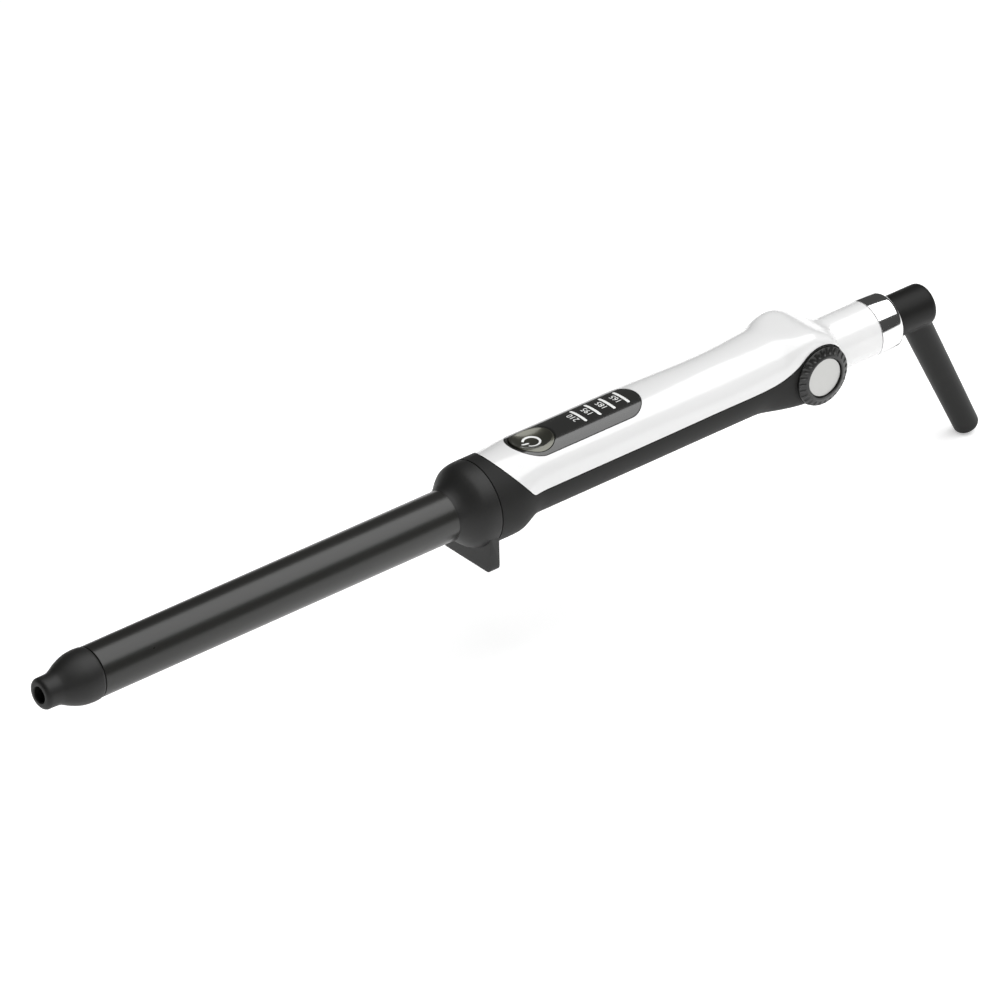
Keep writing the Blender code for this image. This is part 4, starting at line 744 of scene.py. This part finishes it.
for side, word in ((-1, "near"), (1, "far")):
    knob = turned(f"dial_grip_{word}", [(side * along, radius) for along, radius in knob_line], 156,
                  (DIAL_X, 0.0, AXIS_Z), "Y")
    close_ends()
    shape_with(knob, "DIFFERENCE", scoop_tool(side), solver="MANIFOLD")
    smooth(knob, 30.0)
    fit(knob, KNOB_BLACK, "black_plastic", "dial", f"dial_knob_{word}")
    disc = turned(f"dial_disc_{word}", [(side * along, radius) for along, radius in disc_line], 128,
                  (DIAL_X, 0.0, AXIS_Z), "Y")
    close_ends()
    smooth(disc, 30.0)
    fit(disc, BRUSHED, "silver_disc", "dial", f"dial_badge_{word}")


# --- Chrome ring --------------------------------------------------------------------------------------------
# Chromed plastic ring that closes the neck of the handle. Its spigot sits inside the casings, and the elbow's
# journal turns in its bore.
RING_X = NECK_END + GAP
RING_END = RING_X + 10.8 * MM
RING_R = 10.85 * MM
RING_SHOULDER = 2.4 * MM
JOURNAL_R = 6.1 * MM
SPIGOT_R = NECK_R - WALL - GAP
journal_bore = JOURNAL_R + GAP
ring_line = [(RING_END, journal_bore), (RING_X - 3.0 * MM, journal_bore), (RING_X - 3.0 * MM, SPIGOT_R),
             (RING_X, SPIGOT_R), (RING_X, RING_R - 0.2 * MM), (RING_X + 0.06 * MM, RING_R - 0.06 * MM),
             (RING_X + 0.2 * MM, RING_R)]
ring_line += [(RING_END - RING_SHOULDER + RING_SHOULDER * math.sin(math.radians(a)),
               RING_R - RING_SHOULDER + RING_SHOULDER * math.cos(math.radians(a))) for a in range(0, 91, 9)]
chrome_ring = turned("neck_ring", ring_line + ring_line[:1], 160, bored=True)
smooth(chrome_ring, 35.0)
CHROME = finish("bright_chrome", (0.80, 0.80, 0.80), 0.09, metallic=1.0, grain=0.01, grain_size=2.0 * MM,
                worn=0.02)
fit(chrome_ring, CHROME, "chrome", "handle", "chrome_ring")


# --- Cord elbow ---------------------------------------------------------------------------------------------
# Matt black moulding: a short round head that turns in the ring on its hollow journal, and a long tapered arm
# that leads the cord away. The arm grows out of the head in a soft curve.
ELBOW_X = RING_END + GAP
ELBOW_END = ELBOW_X + 17.8 * MM
ELBOW_R = 7.95 * MM
ARM_X = ELBOW_END - 7.4 * MM
ARM_LEAN = math.radians(25.0)
ARM_LENGTH = 66.2 * MM
ARM_ROOT_R, ARM_END_R = 5.6 * MM, 4.9 * MM
ARM_EDGE = 1.6 * MM
HEAD_EDGE = 2.0 * MM
OUTLET_R = 3.5 * MM
GROOVE_DEPTH = 1.1 * MM
CLIP_X = 169.0 * MM             # front face of the retaining clip
CLIP_THICK = 0.8 * MM
JOURNAL_FRONT = CLIP_X - 2.0 * MM
FUSED_GRAIN = 0.32 * MM


def leaning(name, stations, sides):
    """A turned piece that leans down and back from the head, as the arm does."""
    piece = turned(name, stations, sides, (0.0, 0.0, 0.0), "Z")
    piece.rotation_euler = (0.0, math.pi - ARM_LEAN, 0.0)
    piece.location = (ARM_X, 0.0, AXIS_Z)
    bpy.ops.object.transform_apply(location=True, rotation=True, scale=True)
    return piece


head = [(ELBOW_X, ELBOW_R - 0.3 * MM), (ELBOW_X + 0.3 * MM, ELBOW_R)]
head += [(ELBOW_END - HEAD_EDGE + HEAD_EDGE * math.sin(math.radians(a)),
          ELBOW_R - HEAD_EDGE + HEAD_EDGE * math.cos(math.radians(a))) for a in range(0, 91, 10)]
elbow = turned("swivel_elbow", head, 96)
arm = leaning("arm", [(-1.5 * MM, ARM_ROOT_R - 1.6 * MM), (6.0 * MM, ARM_ROOT_R)]
              + [(ARM_LENGTH - ARM_EDGE + ARM_EDGE * math.sin(math.radians(a)),
                  ARM_END_R - ARM_EDGE + ARM_EDGE * math.cos(math.radians(a))) for a in range(0, 91, 10)], 96)
shape_with(elbow, "UNION", arm, solver="MANIFOLD")
remesh = elbow.modifiers.new("fuse", "REMESH")
remesh.mode = "VOXEL"
remesh.voxel_size = FUSED_GRAIN
soften = elbow.modifiers.new("soften", "SMOOTH")
soften.factor = 0.5
soften.iterations = 10
apply_all(elbow)
groove = (CLIP_X - GAP, CLIP_X + CLIP_THICK + GAP)
journal = turned("journal", [(ELBOW_X + 1.0 * MM, JOURNAL_R), (groove[1], JOURNAL_R),
                             (groove[1], JOURNAL_R - GROOVE_DEPTH),
                             (groove[0], JOURNAL_R - GROOVE_DEPTH), (groove[0], JOURNAL_R),
                             (JOURNAL_FRONT + 0.3 * MM, JOURNAL_R), (JOURNAL_FRONT, JOURNAL_R - 0.3 * MM)], 96)
shape_with(elbow, "UNION", journal, solver="MANIFOLD")
outlet = leaning("outlet", [(0.0, OUTLET_R), (ARM_LENGTH - 0.5 * MM, OUTLET_R),
                            (ARM_LENGTH + 1.0 * MM, OUTLET_R + 1.5 * MM)], 64)
passage = turned("passage", [(JOURNAL_FRONT - 2 * MM, OUTLET_R), (ARM_X + 1.0 * MM, OUTLET_R)], 64)
shape_with(outlet, "UNION", passage, solver="MANIFOLD")
shape_with(elbow, "DIFFERENCE", outlet, solver="MANIFOLD")
smooth(elbow, 35.0)
DEEP_BLACK = finish("soft_black_rubber", (0.007, 0.007, 0.0066), 0.50, grain=0.45, grain_size=0.30 * MM,
                    Specular_IOR_Level=0.22)
fit(elbow, DEEP_BLACK, "black_plastic", "elbow", "cord_elbow")


# --- Screws -------------------------------------------------------------------------------------------------
# Zinc-plated self-tapping screws with cross slots: two draw the casings together from below, and one holds
# the cool tip to its plug.
SCREW_R = 1.2 * MM
HEAD_R = 2.4 * MM
CROSS_WIDE, CROSS_DEEP = 0.55 * MM, 0.9 * MM
THREAD_PITCH = 1.0 * MM


def screw(name, centre, way, up, head_thick, length):
    """A screw whose head's underside is at centre. Up is +1 where its point lies towards the way's + end."""
    stations = [(-head_thick, HEAD_R - 0.7 * MM), (-head_thick + 0.25 * MM, HEAD_R - 0.25 * MM),
                (-head_thick + 0.6 * MM, HEAD_R), (0.0, HEAD_R), (0.0, SCREW_R - 0.25 * MM)]
    turns = int((length - 2.0 * MM) / THREAD_PITCH)
    for i in range(turns):
        at = 0.6 * MM + i * THREAD_PITCH
        stations += [(at, SCREW_R - 0.25 * MM), (at + THREAD_PITCH / 2, SCREW_R)]
    stations += [(length - 0.8 * MM, SCREW_R - 0.25 * MM), (length, 0.3 * MM)]
    piece = turned(name, [(up * along, radius) for along, radius in stations], 48, centre, way)
    slots = []
    for turn in (0.0, math.pi / 2):
        bpy.ops.object.select_all(action="DESELECT")
        bpy.ops.mesh.primitive_cube_add(size=1.0)
        slot = bpy.context.object
        slot.dimensions = (CROSS_WIDE, 2.6 * MM, 2 * CROSS_DEEP)
        slot.rotation_euler = (0.0, 0.0, turn)
        bpy.ops.object.transform_apply(location=True, rotation=True, scale=True)
        slot.rotation_euler = CIRCLE_TURN[way]
        slot.location = Vector(centre) - WAYS[way] * up * head_thick
        bpy.ops.object.transform_apply(location=True, rotation=True, scale=True)
        slots.append(slot)
    shape_with(piece, "DIFFERENCE", *slots)
    smooth(piece, 30.0)
    return piece


ZINC = finish("zinc_plated_steel", (0.56, 0.56, 0.55), 0.30, metallic=1.0, grain=0.15, grain_size=0.2 * MM,
              worn=0.08)
for number, x in enumerate(SCREW_XS, start=1):
    casing_screw = screw(f"joining_screw_{number}", (x, 0.0, AXIS_Z - 9.8 * MM), "Z", 1, 1.5 * MM, 10.0 * MM)
    fit(casing_screw, ZINC, "steel", "handle", f"casing_screw_{number}")
tip_head_rear = TIP_X + TIP_HOLE_DEPTH - GAP
end_screw = screw("cap_screw", (tip_head_rear, 0.0, AXIS_Z), "X", 1, 1.6 * MM, 19.5 * MM)
fit(end_screw, ZINC, "steel", "handle", "tip_screw")


# --- Works inside the handle and the barrel -----------------------------------------------------------------
# What the casings hide keeps the frame's own shapes, except the return spring below: the heater and its
# shoes, the board and what is soldered on it, the dial's switch and detent, the slip contacts and the leads.
# Each gets the finish of its own material.
ALUMINIUM = finish("extruded_aluminium", (0.70, 0.70, 0.70), 0.40, metallic=1.0, grain=0.4, grain_size=0.2 * MM,
                   stretch=(0.05, 1.0, 1.0), worn=0.06)
CERAMIC = finish("white_ceramic", (0.80, 0.78, 0.72), 0.60, grain=0.3, grain_size=0.15 * MM, worn=0.04)
FILM = finish("amber_film", (0.55, 0.28, 0.06), 0.32, grain=0.1, grain_size=0.6 * MM, Coat_Weight=0.4)
RESIN = finish("brown_moulded_resin", (0.20, 0.12, 0.07), 0.60, grain=0.6, grain_size=0.2 * MM, worn=0.12)
BOARD = finish("green_solder_mask", (0.03, 0.22, 0.08), 0.40, grain=0.5, grain_size=0.9 * MM, worn=0.20)
STEEL = finish("bright_steel", (0.60, 0.60, 0.60), 0.28, metallic=1.0, grain=0.2, grain_size=0.2 * MM, worn=0.06)
BRASS = finish("turned_brass", (0.72, 0.53, 0.22), 0.26, metallic=1.0, grain=0.3, grain_size=0.1 * MM, worn=0.08)
MILKY = finish("milky_acetal", (0.88, 0.87, 0.80), 0.36, grain=0.1, grain_size=0.4 * MM, worn=0.03)
CAN = finish("sleeved_can", (0.05, 0.06, 0.10), 0.32, grain=0.05, grain_size=1.0 * MM, worn=0.10)
CHIP_BLACK = finish("moulded_chip_black", (0.03, 0.03, 0.03), 0.62, grain=0.7, grain_size=0.12 * MM, worn=0.10)
RED_LEAD = finish("red_silicone_lead", (0.45, 0.04, 0.03), 0.48, grain=0.15, grain_size=0.3 * MM, worn=0.06)
BLUE_LEAD = finish("blue_silicone_lead", (0.04, 0.08, 0.40), 0.48, grain=0.15, grain_size=0.3 * MM, worn=0.06)
WORKS = [
    (ALUMINIUM, ("heater_shoe_upper", "heater_shoe_lower")),
    (CERAMIC, ("ceramic_heater",)),
    (FILM, ("heater_wrap",)),
    (RESIN, ("barrel_seat", "tip_plug", "selector_switch", "slip_carrier", "brush_block")),
    (BOARD, ("circuit_board",)),
    (STEEL, ("thermal_fuse", "dial_spindle", "detent_spring", "retaining_clip")),
    (BRASS, ("detent_wheel", "slip_ring_outer", "slip_ring_inner", "brush_live", "brush_neutral")),
    (MILKY, ("light_guide", "lamp_1", "lamp_2", "lamp_3", "lamp_4", "switch_plunger", "swivel_bush",
             "thermistor")),
    (CAN, ("capacitor",)),
    (CHIP_BLACK, ("controller_chip", "triac", "push_switch")),
    (RED_LEAD, ("supply_lead_live", "heater_lead_live")),
    (BLUE_LEAD, ("supply_lead_neutral", "heater_lead_neutral")),
]
for material, nodes in WORKS:
    for node in nodes:
        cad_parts[node].data.materials.clear()
        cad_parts[node].data.materials.append(material)


# --- Return spring ------------------------------------------------------------------------------------------
# Steel coil between the power button's underside and the push switch. Its upper end goes down with the button
# and its lower end stays on the switch, so the coil shortens by the button's travel.
SPRING_R = 2.6 * MM
SPRING_WIRE = 0.5 * MM
SPRING_TURNS = 3
spring_heights = [corner[2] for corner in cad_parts["button_spring"].bound_box]
spring_low, spring_high = min(spring_heights), max(spring_heights)
spring_length = spring_high - spring_low

bpy.ops.object.select_all(action="DESELECT")
bpy.ops.mesh.primitive_circle_add(vertices=16, radius=SPRING_WIRE / 2, location=(SPRING_R, 0.0, 0.0),
                                  rotation=(math.pi / 2, 0.0, 0.0))
spring = bpy.context.object
spring.name = spring.data.name = "return_spring"
bpy.ops.object.transform_apply(location=True, rotation=True, scale=True)
coil = spring.modifiers.new("coil", "SCREW")
coil.axis = "Z"
coil.screw_offset = (spring_length - SPRING_WIRE) / SPRING_TURNS
coil.iterations = SPRING_TURNS
coil.steps = coil.render_steps = 40
coil.use_merge_vertices = False
apply_all(spring)
bpy.ops.object.mode_set(mode="EDIT")
bpy.ops.mesh.select_all(action="SELECT")
bpy.ops.mesh.remove_doubles(threshold=0.000002)
bpy.ops.mesh.fill_holes(sides=16)
bpy.ops.mesh.select_all(action="SELECT")
bpy.ops.mesh.normals_make_consistent(inside=False)
bpy.ops.object.mode_set(mode="OBJECT")
spring.location = (WINDOW_FRONT, 0.0, spring_low + SPRING_WIRE / 2)
bpy.ops.object.transform_apply(location=True, rotation=True, scale=True)
smooth(spring, 50.0)
fit(spring, STEEL, "steel", "button", "button_spring")
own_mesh(spring)
